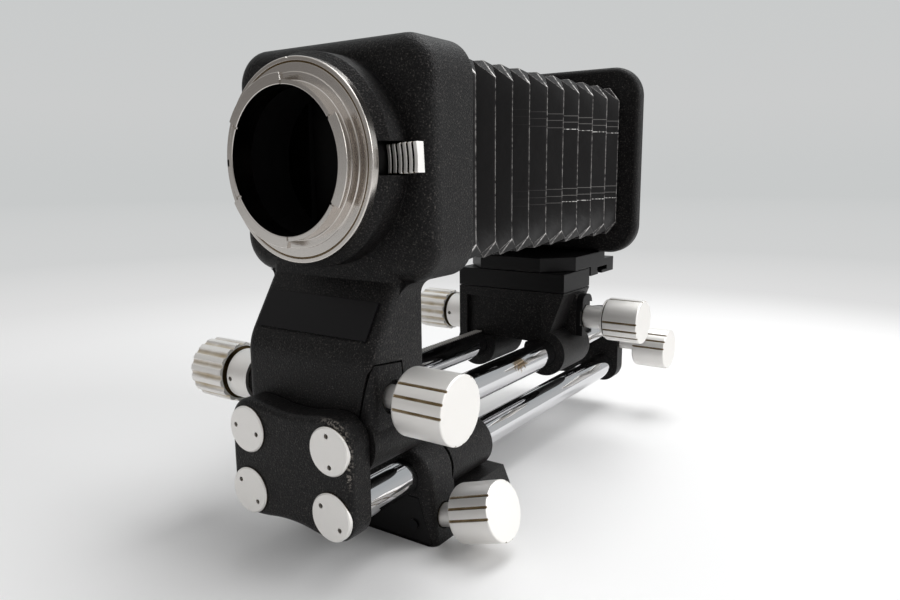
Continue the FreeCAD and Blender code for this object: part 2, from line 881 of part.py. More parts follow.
def end_plate(name, outer, inner):
    """A cast end plate with lobed corners, bored for the four rails and their caps."""
    half = right_x + d.plate_side_margin
    low = d.lower_rail_height - d.plate_bottom_margin
    high = upper_height + d.plate_top_margin
    waist = d.plate_waist_width / 2
    inset = d.plate_waist_floor / 2
    points = [(-half, low), (-waist, low), (-inset, low + d.plate_waist), (inset, low + d.plate_waist),
              (waist, low), (half, low), (half, high), (waist, high), (inset, high - d.plate_waist),
              (-inset, high - d.plate_waist), (-waist, high), (-half, high)]
    outwards = 1 if float(outer) > float(inner) else -1
    body = prism(name + "_blank", "XZ", points, (inner, outer) if outwards > 0 else (outer, inner))
    soften(body, d.plate_corner, along("y", lambda c: abs(c.x) > float(half) - 0.01))
    soften(body, d.plate_waist_round, along("y", lambda c: abs(c.x) < float(waist) + 0.01))
    soften(body, d.plate_edge, flat_on("y", outer))
    seat = outer - outwards * d.cap_seat_depth
    tools = []
    for x, z in rail_axes():
        rail_span = sorted((seat, inner - outwards * PAST), key=float)
        cap_span = sorted((seat, outer + outwards * PAST), key=float)
        tools.append(rod(name + "_rail_hole", "y", d.rail_radius + d.press_gap, rail_span, (x, z)))
        tools.append(rod(name + "_cap_seat", "y", d.cap_radius + d.press_gap, cap_span, (x, z)))
    return body, tools


def rail_axes():
    return [(left_x, upper_height), (right_x, upper_height),
            (left_x, d.lower_rail_height), (right_x, d.lower_rail_height)]


def make_end_plates():
    body, tools = end_plate("rear_end_plate", rear_face, rear_inner)
    keep(cut("rear_end_plate", body, *tools), "rear_end_plate")
    body, tools = end_plate("front_end_plate", front_face, front_inner)
    side = right_x + d.plate_side_margin
    tools.append(rod("accessory_bore", "y", d.accessory_bore, (front_inner - PAST, front_face + PAST),
                     (0.0, accessory_z)))
    tools.append(rod("accessory_spindle_bore", "x", d.accessory_tip_radius, (0.0, side + PAST),
                     (accessory_y, accessory_z)))
    keep(cut("front_end_plate", body, *tools), "front_end_plate")


def make_rails():
    """Four tubes; the upper left one is milled along its top for the rack."""
    span = (rear_face + d.cap_seat_depth, front_face - d.cap_seat_depth)
    names = ["upper_left_rail", "upper_right_rail", "lower_left_rail", "lower_right_rail"]
    for name, (x, z) in zip(names, rail_axes()):
        outside = rod(name + "_outside", "y", d.rail_radius, span, (x, z))
        tools = [rod(name + "_hollow", "y", d.rail_hollow, (span[0] - PAST, span[1] + PAST), (x, z))]
        if name == "upper_left_rail":
            half = d.rack_width / 2 + d.press_gap
            tools.append(block("rack_seat", (left_x - half, left_x + half), rack_span(d.press_gap),
                               (upper_height + d.rack_seat, rack_tip + PAST)))
        keep(cut(name, outside, *tools), name)


def rack_span(gap):
    return rear_inner + d.rack_end_gap - gap, front_inner - d.rack_end_gap + gap


def make_rack():
    """A steel strip with straight-flanked teeth along its top, set flush in the rail."""
    pitch = math.pi * float(d.tooth_module)
    lean = math.tan(math.radians(float(d.pressure_angle)))
    start, end = [float(value) for value in rack_span(0.0)]
    bottom = float(upper_height + d.rack_seat + d.press_gap)
    tip = float(rack_tip)
    foot = float(pitch_line - d.tooth_dedendum)
    half = (pitch / 2 - float(d.tooth_backlash) / 2) / 2
    tip_half = half - float(d.tooth_addendum) * lean
    foot_half = half + float(d.tooth_dedendum) * lean
    points = [Vector(0, end, bottom), Vector(0, start, bottom), Vector(0, start, foot)]
    teeth = int((end - start) / pitch)
    for k in range(1, teeth):
        middle = start + k * pitch
        points += [Vector(0, middle - foot_half, foot), Vector(0, middle - tip_half, tip),
                   Vector(0, middle + tip_half, tip), Vector(0, middle + foot_half, foot)]
    points.append(Vector(0, end, foot))
    width = float(d.rack_width)
    thing = doc.addObject("Part::Feature", "focus_rack")
    thing.Shape = prism_along_x(points, float(left_x) - width / 2, width)
    keep(thing, "focus_rack")


def make_caps(name, outer, outwards, turns):
    """Four screwed caps with two pin-wrench holes each, their stems inside the rails."""
    seat = outer - outwards * d.cap_seat_depth
    face = outer + outwards * d.cap_proud
    stem = seat - outwards * d.cap_stem_length
    radius = d.cap_radius
    stem_radius = d.rail_hollow - d.press_gap
    edge = face - outwards * d.cap_chamfer
    profile = [(stem, 0.0), (stem, stem_radius), (seat, stem_radius), (seat, radius), (edge, radius),
               (face, radius - d.cap_chamfer), (face, 0.0)]
    caps = []
    for k, (x, z) in enumerate(rail_axes()):
        blank = turned("%s_%d_blank" % (name, k), "y", profile)
        place(blank, x, 0.0, z)
        span = sorted((face - outwards * d.cap_hole_depth, face + outwards * PAST), key=float)
        holes = []
        for angle in (turns[k], turns[k] + 180):
            across = x + d.cap_hole_offset * cosine(angle)
            up = z + d.cap_hole_offset * sine(angle)
            holes.append(rod("%s_%d_hole" % (name, k), "y", d.cap_hole_radius, span, (across, up)))
        caps.append(cut("%s_%d" % (name, k), blank, *holes))
    keep(group(name, caps), name)


accessory_z = (d.lower_rail_height + upper_height) / 2 + d.accessory_clamp_rise
accessory_y = front_inner + d.accessory_clamp_inset
make_end_plates()
make_rails()
make_rack()
make_caps("rear_rail_caps", rear_face, -1, REAR_CAP_TURNS)
make_caps("front_rail_caps", front_face, 1, FRONT_CAP_TURNS)

plate_side = right_x + d.plate_side_margin
accessory_knob_start = plate_side + d.accessory_knob_gap
lock_spindle("accessory_clamp_screw", d.accessory_bore + d.seat_gap, plate_side + d.seat_gap,
             accessory_knob_start, d.accessory_knob_length, (accessory_y, accessory_z),
             d.accessory_collar_radius, d.accessory_tip_radius)
lock_knob("accessory_clamp_knob", d.accessory_knob_radius, d.accessory_knob_length,
          accessory_knob_start, (accessory_y, accessory_z), d.accessory_groove_turn)


# ---------------------------------------------------------------- tripod block

def make_tripod_block():
    """The root casting: two collars on the lower rails, a web, a broad near foot and a low flange."""
    near, far = -d.block_near, d.block_far
    low_z = d.lower_rail_height
    base, shoulder = d.block_base_half, d.block_shoulder_half
    foot = prism("block_foot", "XZ", [(-base, 0.0), (base, 0.0), (shoulder, low_z), (-shoulder, low_z)],
                 (near, near + d.block_foot_length))
    soften(foot, d.block_edge, flat_on("y", near, lambda c: abs(c.x) > float(right_x)))
    start = near + d.block_foot_length - PAST
    flange = prism("block_flange", "YZ",
                   [(start, 0.0), (far, 0.0), (far - d.block_flange_toe, d.block_flange_toe_height),
                    (far - d.block_flange_flat, d.block_flange_top), (start, d.block_flange_top)],
                   (-d.block_flange_half, d.block_flange_half))
    collar_span = (near, d.block_collar_far)
    collars = []
    for x in (left_x, right_x):
        collar = rod("block_collar_blank", "y", d.collar_radius, collar_span, (x, low_z))
        collars.append(soften_solid("block_collar", collar, d.block_edge, flat_on("y", near)))
    web = block("block_web", (left_x, right_x), collar_span,
                (d.block_flange_top - PAST, low_z + d.block_web_rise))
    solid = fuse("tripod_block_solid", foot, flange, web, *collars)

    slit_y = near + d.block_slit_offset
    half_slit = d.block_slit_width / 2
    reach = tripod_lock_shoe_length
    tools = [rod("lower_rail_bore", "y", rail_bore, (near - PAST, far + PAST), (x, low_z))
             for x in (left_x, right_x)]
    tools += [
        block("collar_slit", (right_x + d.rail_radius - PAST, base), (slit_y - half_slit, slit_y + half_slit),
              (low_z - d.block_slit_foot, low_z + d.collar_radius + PAST)),
        along_spindle("tripod_spindle_bore", d.spindle_radius,
                      -tripod_lock_depth - d.tripod_lock_tip - d.seat_gap, 0.0),
        along_spindle("tripod_collar_recess", d.tripod_lock_recess_radius, -d.tripod_lock_recess_inset, 0.0),
        across_spindle("tripod_shoe_bore", d.shoe_radius, 0.0, reach),
        rod("insert_bore", "z", d.insert_radius + d.press_gap, (-PAST, d.insert_height + d.press_gap),
            (0.0, 0.0)),
        prism("cover_seat", "XZ", cover_outline(0.0), (near - PAST, near + d.cover_depth)),
    ]
    for x in cover_screw_places():
        tools.append(rod("cover_screw_hole", "y", d.cover_screw_radius + d.press_gap,
                         (near, near + d.cover_depth + d.cover_screw_length), (x, d.cover_screw_height)))
    keep(cut("tripod_block_body", solid, *tools), "tripod_block_body")


def along_spindle(name, radius, start, end):
    """A cylinder on the tilted axis of the clamp spindle, measured outwards from the knob's rear."""
    thing = rod(name, "z", radius, (start, end), (0.0, 0.0))
    tilt = d.tripod_lock_tilt
    return lean(thing, 1, 90.0 - tilt, tripod_knob_start + start * cosine(tilt), tripod_lock_y,
                d.tripod_lock_height + start * sine(tilt))


def across_spindle(name, radius, start, end):
    """A cylinder square to the clamp spindle, from its axis towards the middle of the rail."""
    thing = rod(name, "z", radius, (start, end), (0.0, 0.0))
    tilt = d.tripod_lock_tilt
    x = tripod_knob_start - tripod_lock_depth * cosine(tilt) - start * sine(tilt)
    z = d.tripod_lock_height - tripod_lock_depth * sine(tilt) + start * cosine(tilt)
    return lean(thing, -1, tilt, x, tripod_lock_y, z)


def cover_outline(inset):
    """The trapezoid of the near cover, smaller all round by an inset."""
    base = d.block_base_half - d.cover_margin - inset
    top = base - d.cover_slant
    return [(-base, d.cover_bottom + inset), (base, d.cover_bottom + inset),
            (top, d.cover_top - inset), (-top, d.cover_top - inset)]


def cover_screw_places():
    x = d.block_base_half - d.cover_margin - d.cover_screw_inset
    return -x, x


def make_tripod_cover():
    near = -d.block_near + d.cover_depth
    face = near - d.cover_thickness
    cover = prism("tripod_cover_blank", "XZ", cover_outline(d.cover_gap), (face, near))
    span = (face - PAST, near + PAST)
    hole = d.cover_screw_radius + d.press_gap
    holes = [rod("cover_hole", "y", hole, span, (x, d.cover_screw_height)) for x in cover_screw_places()]
    keep(cut("tripod_cover", cover, *holes), "tripod_cover")
    head = face - d.cover_screw_head_height
    end = near + d.cover_screw_length - d.seat_gap
    screws = []
    for k, x in enumerate(cover_screw_places()):
        profile = [(head, 0.0), (head, d.cover_screw_head), (face, d.cover_screw_head),
                   (face, d.cover_screw_radius), (end, d.cover_screw_radius), (end, 0.0)]
        screw = turned("tripod_cover_screw_%d" % k, "y", profile)
        place(screw, x, 0.0, d.cover_screw_height)
        screws.append(screw)
    keep(group("tripod_cover_screws", screws), "tripod_cover_screws")


def make_thread_insert():
    """A steel bush pressed into the foot, bored to the nominal size of its tripod thread."""
    outside = rod("insert_outside", "z", d.insert_radius, (0.0, d.insert_height), (0.0, 0.0))
    bore = rod("insert_thread", "z", d.thread_radius, (-PAST, d.thread_depth), (0.0, 0.0))
    keep(cut("tripod_thread_insert", outside, bore), "tripod_thread_insert")


tripod_lock_y = -d.block_near + d.tripod_lock_inset
tripod_knob_start = d.block_base_half + d.tripod_lock_gap
spindle_run = tripod_knob_start - right_x
spindle_rise = d.lower_rail_height - d.tripod_lock_height
tripod_lock_depth = spindle_run * cosine(d.tripod_lock_tilt) - spindle_rise * sine(d.tripod_lock_tilt)
tripod_lock_shoe_length = spindle_run * sine(d.tripod_lock_tilt) + spindle_rise * cosine(d.tripod_lock_tilt)
make_tripod_block()
make_tripod_cover()
make_thread_insert()
tripod_spindle = lock_spindle("tripod_lock_spindle", -tripod_lock_depth - d.tripod_lock_tip,
                              d.seat_gap - d.tripod_lock_recess_inset, 0.0,
                              d.tripod_lock_knob_length, (0.0, 0.0), d.tripod_lock_collar_radius)
tripod_knob = lock_knob("tripod_lock_knob", d.tripod_lock_knob_radius, d.tripod_lock_knob_length,
                        0.0, (0.0, 0.0), d.tripod_lock_groove_turn)
for piece in (tripod_spindle, tripod_knob):
    lean(piece, -1, d.tripod_lock_tilt, tripod_knob_start, tripod_lock_y, d.tripod_lock_height)
keep(across_spindle("tripod_clamp_shoe", d.shoe_radius - d.press_gap, d.spindle_radius,
                    tripod_lock_shoe_length - d.rail_radius - d.seat_gap), "tripod_clamp_shoe")


# ---------------------------------------------------------------- camera standard

def neck_profile(name, setback, half):
    """The neck from the side: upright, leaning back, then flush with the front of the box."""
    near, far = camera_near + setback, camera_far
    front, inside = box_near + setback, box_near + d.box_front_wall
    top = box_bottom + d.box_edge + PAST
    body = prism(name, "YZ",
                 [(near, neck_bottom), (far, neck_bottom), (far, box_bottom + d.box_wall),
                  (inside, box_bottom + d.box_wall), (inside, top), (front, top),
                  (front, box_bottom), (near, slope_start)],
                 (-half, half))
    return soften(body, d.neck_bend, along("x", lambda c: abs(c.z - float(slope_start)) < 0.01))


def neck_flares():
    """A hollow curve on each side, where the neck meets the rounded corner of the box."""
    half, flare, corner = d.neck_half_width, d.neck_flare, d.box_corner
    offset = half + flare - (d.box_half_width - corner)
    drop = root((corner + flare) * (corner + flare) - offset * offset) - corner
    share = flare / (corner + flare)
    reach = half + flare - offset * share
    top = box_bottom + (drop + corner) * share - drop
    pieces = []
    for side in (-1, 1):
        span = sorted((side * (half - PAST), side * reach), key=float)
        fill = block("flare_block", span, (camera_near, camera_far), (box_bottom - drop, top))
        round_off = rod("flare_round", "y", flare, (camera_near - PAST, camera_far + PAST),
                        (side * (half + flare), box_bottom - drop))
        pieces.append(cut("flare", fill, round_off))
    shape = neck_profile("flare_profile", d.neck_edge, reach + PAST)
    return common("neck_flares", shape, fuse("flare_pair", *pieces))


def clamp_wedge(name, gap, slit):
    """The wedge of the neck's right side that stands free as the clamp plate, with gaps round it."""
    half = d.neck_half_width
    low = upper_height + d.camera_clamp_bottom
    high = upper_height + d.camera_clamp_top
    near_top = upper_height + d.camera_clamp_near_rise + gap
    side = prism(name + "_side", "YZ",
                 [(camera_near - PAST, low), (camera_near + d.camera_clamp_far + gap, low),
                  (camera_near + d.camera_clamp_far_top + gap, upper_height + d.camera_clamp_far_rise + gap),
                  (camera_near + d.camera_clamp_near_top, high + gap),
                  (camera_near, near_top), (camera_near - PAST, near_top)],
                 (0.0, half + PAST))
    rate = (d.camera_clamp_foot - d.camera_clamp_tip) / (high - low)
    front = prism(name + "_front", "XZ",
                  [(half - d.camera_clamp_foot - slit - rate * PAST, low - PAST),
                   (half + 2 * PAST, low - PAST), (half + 2 * PAST, high + PAST),
                   (half - d.camera_clamp_tip - slit + rate * PAST, high + PAST)],
                  (camera_near - 2 * PAST, camera_far))
    return common(name, side, front)


def make_camera_casting():
    """Collars, a neck that leans back to the box, and the box with its mount boss, in one casting."""
    near, far = camera_near, camera_far
    half = d.neck_half_width
    collars = [rod("camera_collar", "y", d.collar_radius, (near, far), (x, upper_height))
               for x in (left_x, right_x)]
    neck = soften_solid("camera_neck", neck_profile("neck_blank", 0.0, half), d.neck_edge, front_edges)
    box = prism("camera_box", "XZ",
                [(-d.box_half_width, box_bottom), (d.box_half_width, box_bottom),
                 (d.box_half_width, box_top), (-d.box_half_width, box_top)],
                (box_near, box_far))
    soften(box, d.box_corner, along("y"))
    soften(box, d.box_edge, flat_on("y", box_near))
    drive_boss = rod("camera_drive_boss", "x", d.camera_boss_radius,
                     (-half - d.camera_boss_length, -half + PAST), (camera_drive_y, camera_drive_z))
    boss_front = box_near - d.boss_height
    boss = turned("mount_boss", "y",
                  [(box_near + PAST, 0.0), (boss_front, 0.0), (boss_front, d.boss_radius - d.boss_bevel),
                   (boss_front + d.boss_bevel, d.boss_radius), (box_near + PAST, d.boss_radius)])
    place(boss, 0.0, 0.0, mount_height)
    solid = fuse("camera_casting_solid", neck, neck_flares(), box, drive_boss, boss, *collars)

    wall = d.box_wall
    cavity = prism("box_cavity", "XZ",
                   [(-d.box_half_width + wall, box_bottom + wall),
                    (d.box_half_width - wall, box_bottom + wall),
                    (d.box_half_width - wall, box_top - wall),
                    (-d.box_half_width + wall, box_top - wall)],
                   (box_near + d.box_front_wall, box_far + PAST))
    soften(cavity, d.box_inner_corner, along("y"))
    tools = [cavity, clamp_wedge("camera_clamp_seat", d.groove_gap, d.camera_clamp_slit)]
    tools.append(rod("turret_bore", "y", d.turret_radius + d.turn_clearance,
                     (boss_front - PAST, box_near + d.box_front_wall + PAST), (0.0, mount_height)))
    tools.append(rod("camera_spindle_bore", "x", d.spindle_radius, (right_x - d.spindle_reach, half + PAST),
                     (camera_lock_y, camera_lock_z)))
    tools.append(rod("camera_shoe_bore", "z", d.shoe_radius, (upper_height, camera_lock_z),
                     (right_x, camera_lock_y)))
    tools += rail_cutters("camera", near, far)
    tools += pinion_cutters("camera", camera_pinion_radius, camera_drive_y, camera_drive_z,
                            -half - d.camera_boss_length - PAST)
    tools += button_cutters()
    keep(cut("camera_standard_body", solid, *tools), "camera_standard_body")

    plate = common("camera_clamp_blank", neck, clamp_wedge("camera_clamp_wedge", 0.0, 0.0))
    hole = rod("camera_clamp_hole", "x", d.spindle_radius + d.seat_gap, (right_x, half + PAST),
               (camera_lock_y, camera_lock_z))
    recess = rod("camera_clamp_recess", "x", d.camera_clamp_recess_radius,
                 (half - d.camera_clamp_recess_depth, half + PAST), (camera_lock_y, camera_lock_z))
    keep(cut("camera_clamp_plate", plate, hole, recess), "camera_clamp_plate")


def front_edges(edge):
    """Picks the long edges of the neck's front: upright, round the bend, up the slope and the box."""
    box = edge.BoundBox
    on_side = box.XLength < 0.001 and abs(abs(box.XMin) - float(d.neck_half_width)) < 0.001
    return on_side and box.YMax < float(box_near) + 0.001


def button_cutters():
    """The notch in the mount boss that the button sits in, and the slot for its stem and spring."""
    half = d.button_height / 2 + d.button_slot_gap
    stem_half = d.button_stem_height / 2 + d.seat_gap
    stem_start = d.button_start + d.button_stem_offset
    stem_end = stem_start + d.button_stem_length
    return [
        block("button_notch", (d.turret_radius - 2 * PAST, d.boss_radius + PAST),
              (box_near - d.boss_height - PAST, box_near), (button_z - half, button_z + half)),
        block("button_stem_slot", (stem_start - d.seat_gap, stem_end + d.button_spring_length),
              (box_near - PAST, box_near + d.button_stem_depth + d.seat_gap),
              (button_z - stem_half, button_z + stem_half)),
    ]


def make_name_plate():
    """A thin bare plate on the sloping face of the neck."""
    run = box_near - camera_near
    rise = box_bottom - slope_start
    length = root(run * run + rise * rise)
    along_y, along_z = run / length, rise / length

    def on_slope(distance, lift):
        return (camera_near + distance * along_y - lift * along_z,
                slope_start + distance * along_z + lift * along_y)

    start = d.name_plate_start
    end = start + d.name_plate_length
    points = [on_slope(start, 0.0), on_slope(end, 0.0), on_slope(end, d.name_plate_thickness),
              on_slope(start, d.name_plate_thickness)]
    plate = prism("name_plate", "YZ", points, (-d.name_plate_half_width, d.name_plate_half_width))
    keep(plate, "name_plate")


def make_camera_mount():
    """The rotating bayonet: a sleeve in the boss, the flange in front and a retaining ring behind."""
    boss_front = box_near - d.boss_height
    flange_back = boss_front - d.seat_gap
    flange_front = flange_back - d.flange_thickness
    barrel_front = flange_front - d.barrel_length
    sleeve_back = box_near + d.box_front_wall + d.seat_gap
    retainer_back = sleeve_back + d.retainer_thickness
    screw = d.mount_screw_radius + d.press_gap
    places = []
    for k in range(int(d.mount_screws.value)):
        angle = d.mount_screw_turn + k * 360 / d.mount_screws.value
        places.append((d.mount_screw_circle * cosine(angle),
                       mount_height + d.mount_screw_circle * sine(angle)))

    def drilled(name, blank, span):
        place(blank, 0.0, 0.0, mount_height)
        holes = [rod(name + "_hole", "y", screw, span, spot) for spot in places]
        keep(cut(name, blank, *holes), name)

    sleeve = turned("mount_sleeve_blank", "y",
                    [(flange_back, d.turret_bore), (flange_back, d.turret_radius),
                     (sleeve_back, d.turret_radius), (sleeve_back, d.turret_bore)])
    drilled("mount_sleeve", sleeve, (flange_back - PAST, sleeve_back + PAST))
    flange = turned("bayonet_flange_blank", "y",
                    [(flange_back, d.mount_bore), (flange_back, d.flange_radius),
                     (flange_front, d.flange_radius), (flange_front, d.barrel_radius),
                     (barrel_front, d.barrel_radius), (barrel_front, d.mount_bore)])
    lug_back = barrel_front + d.lug_thickness
    lug = add_turn(flange, "y",
                   [(barrel_front, d.mount_bore), (barrel_front, d.lug_radius),
                    (lug_back, d.lug_radius), (lug_back, d.mount_bore)], d.lug_angle)
    repeat_round(flange, lug, "y", d.lugs)
    drilled("bayonet_flange", flange, (flange_back - d.mount_screw_depth, flange_back + PAST))
    retainer = turned("turret_retaining_ring_blank", "y",
                      [(sleeve_back, d.turret_bore), (sleeve_back, d.retainer_radius),
                       (retainer_back, d.retainer_radius), (retainer_back, d.turret_bore)])
    drilled("turret_retaining_ring", retainer, (sleeve_back - PAST, retainer_back + PAST))
    tip = flange_back - d.mount_screw_depth + d.press_gap
    head = retainer_back + d.mount_screw_head_height
    screws = []
    for k, (x, z) in enumerate(places):
        profile = [(tip, 0.0), (tip, d.mount_screw_radius), (retainer_back, d.mount_screw_radius),
                   (retainer_back, d.mount_screw_head), (head, d.mount_screw_head), (head, 0.0)]
        body = turned("bayonet_screw_%d" % k, "y", profile)
        place(body, x, 0.0, z)
        screws.append(body)
    keep(group("bayonet_screws", screws), "bayonet_screws")


def make_release_button():
    """The ribbed sliding button that frees the rotating mount, and the spring behind its stem."""
    start = d.button_start
    end = start + d.button_length
    back = box_near - d.seat_gap
    face = back - d.button_depth
    low = button_z - d.button_height / 2
    high = button_z + d.button_height / 2
    body = prism("button_blank", "XY",
                 [(start, back), (start, face), (end - d.button_bevel, face),
                  (end, face + d.button_bevel), (end, back)], (low, high))
    sketch = new_sketch(body, "XY", low)
    first = start + d.button_rib_pitch - d.button_groove_width
    floor = face + d.button_groove_depth
    draw_outline(sketch, [(first, face - PAST), (first + d.button_groove_width, face - PAST),
                          (first + d.button_groove_width, floor), (first, floor)])
    groove = body.newObject("PartDesign::Pocket", "button_groove")
    groove.Profile = (sketch, [""])
    groove.Type = "ThroughAll"
    groove.Midplane = True
    pattern = body.newObject("PartDesign::LinearPattern", "button_grooves")
    pattern.Originals = [groove]
    pattern.Direction = (origin_part(body, "X_Axis"), [""])
    bind(pattern, "Length", d.button_rib_pitch * (d.button_grooves - 1))
    bind(pattern, "Occurrences", d.button_grooves)
    body.Tip = pattern
    stem_start = start + d.button_stem_offset
    half = d.button_stem_height / 2
    stem = block("button_stem", (stem_start, stem_start + d.button_stem_length),
                 (back - PAST, box_near + d.button_stem_depth), (button_z - half, button_z + half))
    keep(fuse("rotation_release_button", body, stem), "rotation_release_button")
    stem_end = stem_start + d.button_stem_length
    spring = rod("rotation_button_spring", "x", d.button_spring_radius,
                 (stem_end + d.turn_clearance, stem_end + d.button_spring_length - d.turn_clearance),
                 (box_near + d.button_spring_radius + d.turn_clearance, button_z))
    keep(spring, "rotation_button_spring")


def bellows_frame(name, span, half_width, half_height):
    """A square clamping frame that holds one end of the bellows."""
    opening = d.bellows_frame_opening
    ratio = half_height / half_width
    plate = block(name + "_plate", (-half_width, half_width), span,
                  (mount_height - half_height, mount_height + half_height))
    hole = block(name + "_window", (-opening, opening), (span[0] - PAST, span[1] + PAST),
                 (mount_height - opening * ratio, mount_height + opening * ratio))
    return cut(name, plate, hole)


button_z = mount_height + d.button_lift
make_camera_casting()
make_name_plate()
make_camera_mount()
make_release_button()
box_inside = d.box_half_width - d.box_wall - d.press_gap
rear_frame = bellows_frame("rear_frame_square", (box_far - d.bellows_frame_thickness, box_far),
                           box_inside, d.box_height / 2 - d.box_wall - d.press_gap)
keep(soften_solid("bellows_rear_frame", rear_frame, d.box_inner_corner,
                  along("y", lambda c: abs(c.x) > float(box_inside) - 0.01)), "bellows_rear_frame")

neck_side = d.neck_half_width
camera_knob_start = neck_side + d.camera_lock_knob_gap
lock_spindle("camera_lock_spindle", right_x - d.spindle_reach / 2,
             neck_side - d.camera_clamp_recess_depth + d.seat_gap, camera_knob_start,
             d.camera_lock_knob_length, (camera_lock_y, camera_lock_z), d.camera_lock_collar_radius)
lock_knob("camera_lock_knob", d.camera_lock_knob_radius, d.camera_lock_knob_length,
          camera_knob_start, (camera_lock_y, camera_lock_z), d.camera_lock_groove_turn)
clamp_shoe("camera_clamp_shoe", camera_lock_y, upper_height + d.rail_radius + d.seat_gap,
           camera_lock_z - d.spindle_radius)

camera_sleeve_start = -neck_side - d.camera_boss_length
camera_drive_start = camera_sleeve_start - d.camera_sleeve_length - d.drive_knob_gap
drive_sleeve("camera_drive_sleeve", d.camera_sleeve_radius, d.camera_sleeve_length,
             camera_sleeve_start, camera_drive_y, camera_drive_z)
pinion_shaft("camera_pinion_shaft", camera_pinion_radius, int(d.camera_pinion_teeth.value),
             camera_drive_y, camera_drive_z, camera_drive_start, d.camera_drive_knob_length)
drive_knob("camera_drive_knob", d.camera_drive_knob_radius, d.camera_drive_knob_length,
           camera_drive_start, (camera_drive_y, camera_drive_z))


# ---------------------------------------------------------------- bellows

def make_bellows():
    """A hollow folded shell: eight-sided sections that step between ridges and valleys."""
    half_width = float(bellows_half_width)
    half_height = float(bellows_half_height)
    chamfer_x = float(d.bellows_chamfer_x)
    chamfer_z = float(d.bellows_chamfer_z)
    slant = math.hypot(chamfer_x, chamfer_z)
    depth = float(d.pleat_depth)
    wall = float(d.bellows_wall)
    centre = float(mount_height)
    start, end = float(box_far), float(frame_near)
    count = int(d.pleat_count.value)
    first = start + float(d.first_pleat_offset)
    last = end - float(d.last_pleat_offset)
    pitch = (last - first) / (count - 1)

    def section(y, inset):
        """An octagon whose sides all lie a given distance inside the largest one."""
        wide, tall = half_width - inset, half_height - inset
        corner_x = chamfer_x - inset + inset * (slant - chamfer_x) / chamfer_z
        corner_z = chamfer_z - inset + inset * (slant - chamfer_z) / chamfer_x
        ring = [(wide, tall - corner_z), (wide - corner_x, tall), (corner_x - wide, tall),
                (-wide, tall - corner_z), (-wide, corner_z - tall), (corner_x - wide, -tall),
                (wide - corner_x, -tall), (wide, corner_z - tall)]
        return [Vector(x, y, centre + z) for x, z in ring]

    steps = [(start, depth)]
    for k in range(count):
        steps.append((first + k * pitch, 0.0))
        if k < count - 1:
            steps.append((first + (k + 0.5) * pitch, depth))
    steps.append((end, float(d.last_pleat_offset)))
    outside = [section(y, inset) for y, inset in steps]
    inside = [section(y, inset + wall) for y, inset in steps]
    faces = []
    for rings in (outside, inside):
        for near, far in zip(rings, rings[1:]):
            for k in range(8):
                corners = [near[k], near[(k + 1) % 8], far[(k + 1) % 8], far[k]]
                faces.append(Part.Face(Part.makePolygon(corners + corners[:1])))
    for outer, inner in ((outside[0], inside[0]), (outside[-1], inside[-1])):
        rim = [Part.makePolygon(ring + ring[:1]) for ring in (outer, inner)]
        faces.append(Part.Face(rim[0]).cut(Part.Face(rim[1])).Faces[0])
    shell = Part.makeShell(faces)
    solid = Part.makeSolid(shell)
    if solid.Volume < 0:
        solid.reverse()
    thing = doc.addObject("Part::Feature", "bellows")
    thing.Shape = solid
    keep(thing, "bellows")


make_bellows()


# ---------------------------------------------------------------- lens standard

def make_lens_casting():
    """Collars and a deck for the swing plate; its right side draws in above the clamp."""
    near, far = lens_near, lens_far
    half = d.neck_half_width
    waist_z = upper_height + d.lens_waist_rise
    deck = prism("lens_deck", "XZ",
                 [(-half, neck_bottom), (half - d.lens_waist, neck_bottom), (half - d.lens_waist, waist_z),
                  (half, deck_top - d.lens_deck_edge), (half, deck_top), (-half, deck_top)],
                 (near, far))
    collars = [rod("lens_collar", "y", d.collar_radius, (near, far), (x, upper_height))
               for x in (left_x, right_x)]
    clamp_pad = block("lens_clamp_pad", (right_x, half),
                      (near + d.lens_clamp_near, near + d.lens_clamp_far),
                      (upper_height + d.lens_clamp_bottom, upper_height + d.lens_clamp_top))
    boss = rod("lens_drive_boss", "x", d.lens_boss_radius, (-half - d.lens_boss_length, -half + PAST),
               (lens_drive_y, lens_drive_z))
    solid = fuse("lens_casting_solid", deck, clamp_pad, boss, *collars)
    margin = d.lens_face_margin
    tools = [
        block("lens_face_recess", (-half + margin, half - d.lens_waist - margin),
              (near - PAST, near + d.lens_face_recess), (neck_bottom, deck_top - margin)),
        rod("lens_spindle_bore", "x", d.spindle_radius, (right_x - d.spindle_reach, half + PAST),
            (lens_lock_y, lens_lock_z)),
        rod("lens_shoe_bore", "z", d.shoe_radius, (upper_height, lens_lock_z), (right_x, lens_lock_y)),
        rod("pivot_hole", "z", d.pivot_radius + d.press_gap, (deck_top - d.pivot_depth, deck_top + PAST),
            (0.0, pivot_y)),
        rod("swing_lever_hole", "y", d.lever_stud_radius, (far - d.lever_stud_length, far + PAST),
            (swing_lever_x, swing_lever_z)),
    ]
    tools += rail_cutters("lens", near, far)
    tools += pinion_cutters("lens", lens_pinion_radius, lens_drive_y, lens_drive_z,
                            -half - d.lens_boss_length - PAST)
    keep(cut("lens_carriage_body", solid, *tools), "lens_carriage_body")


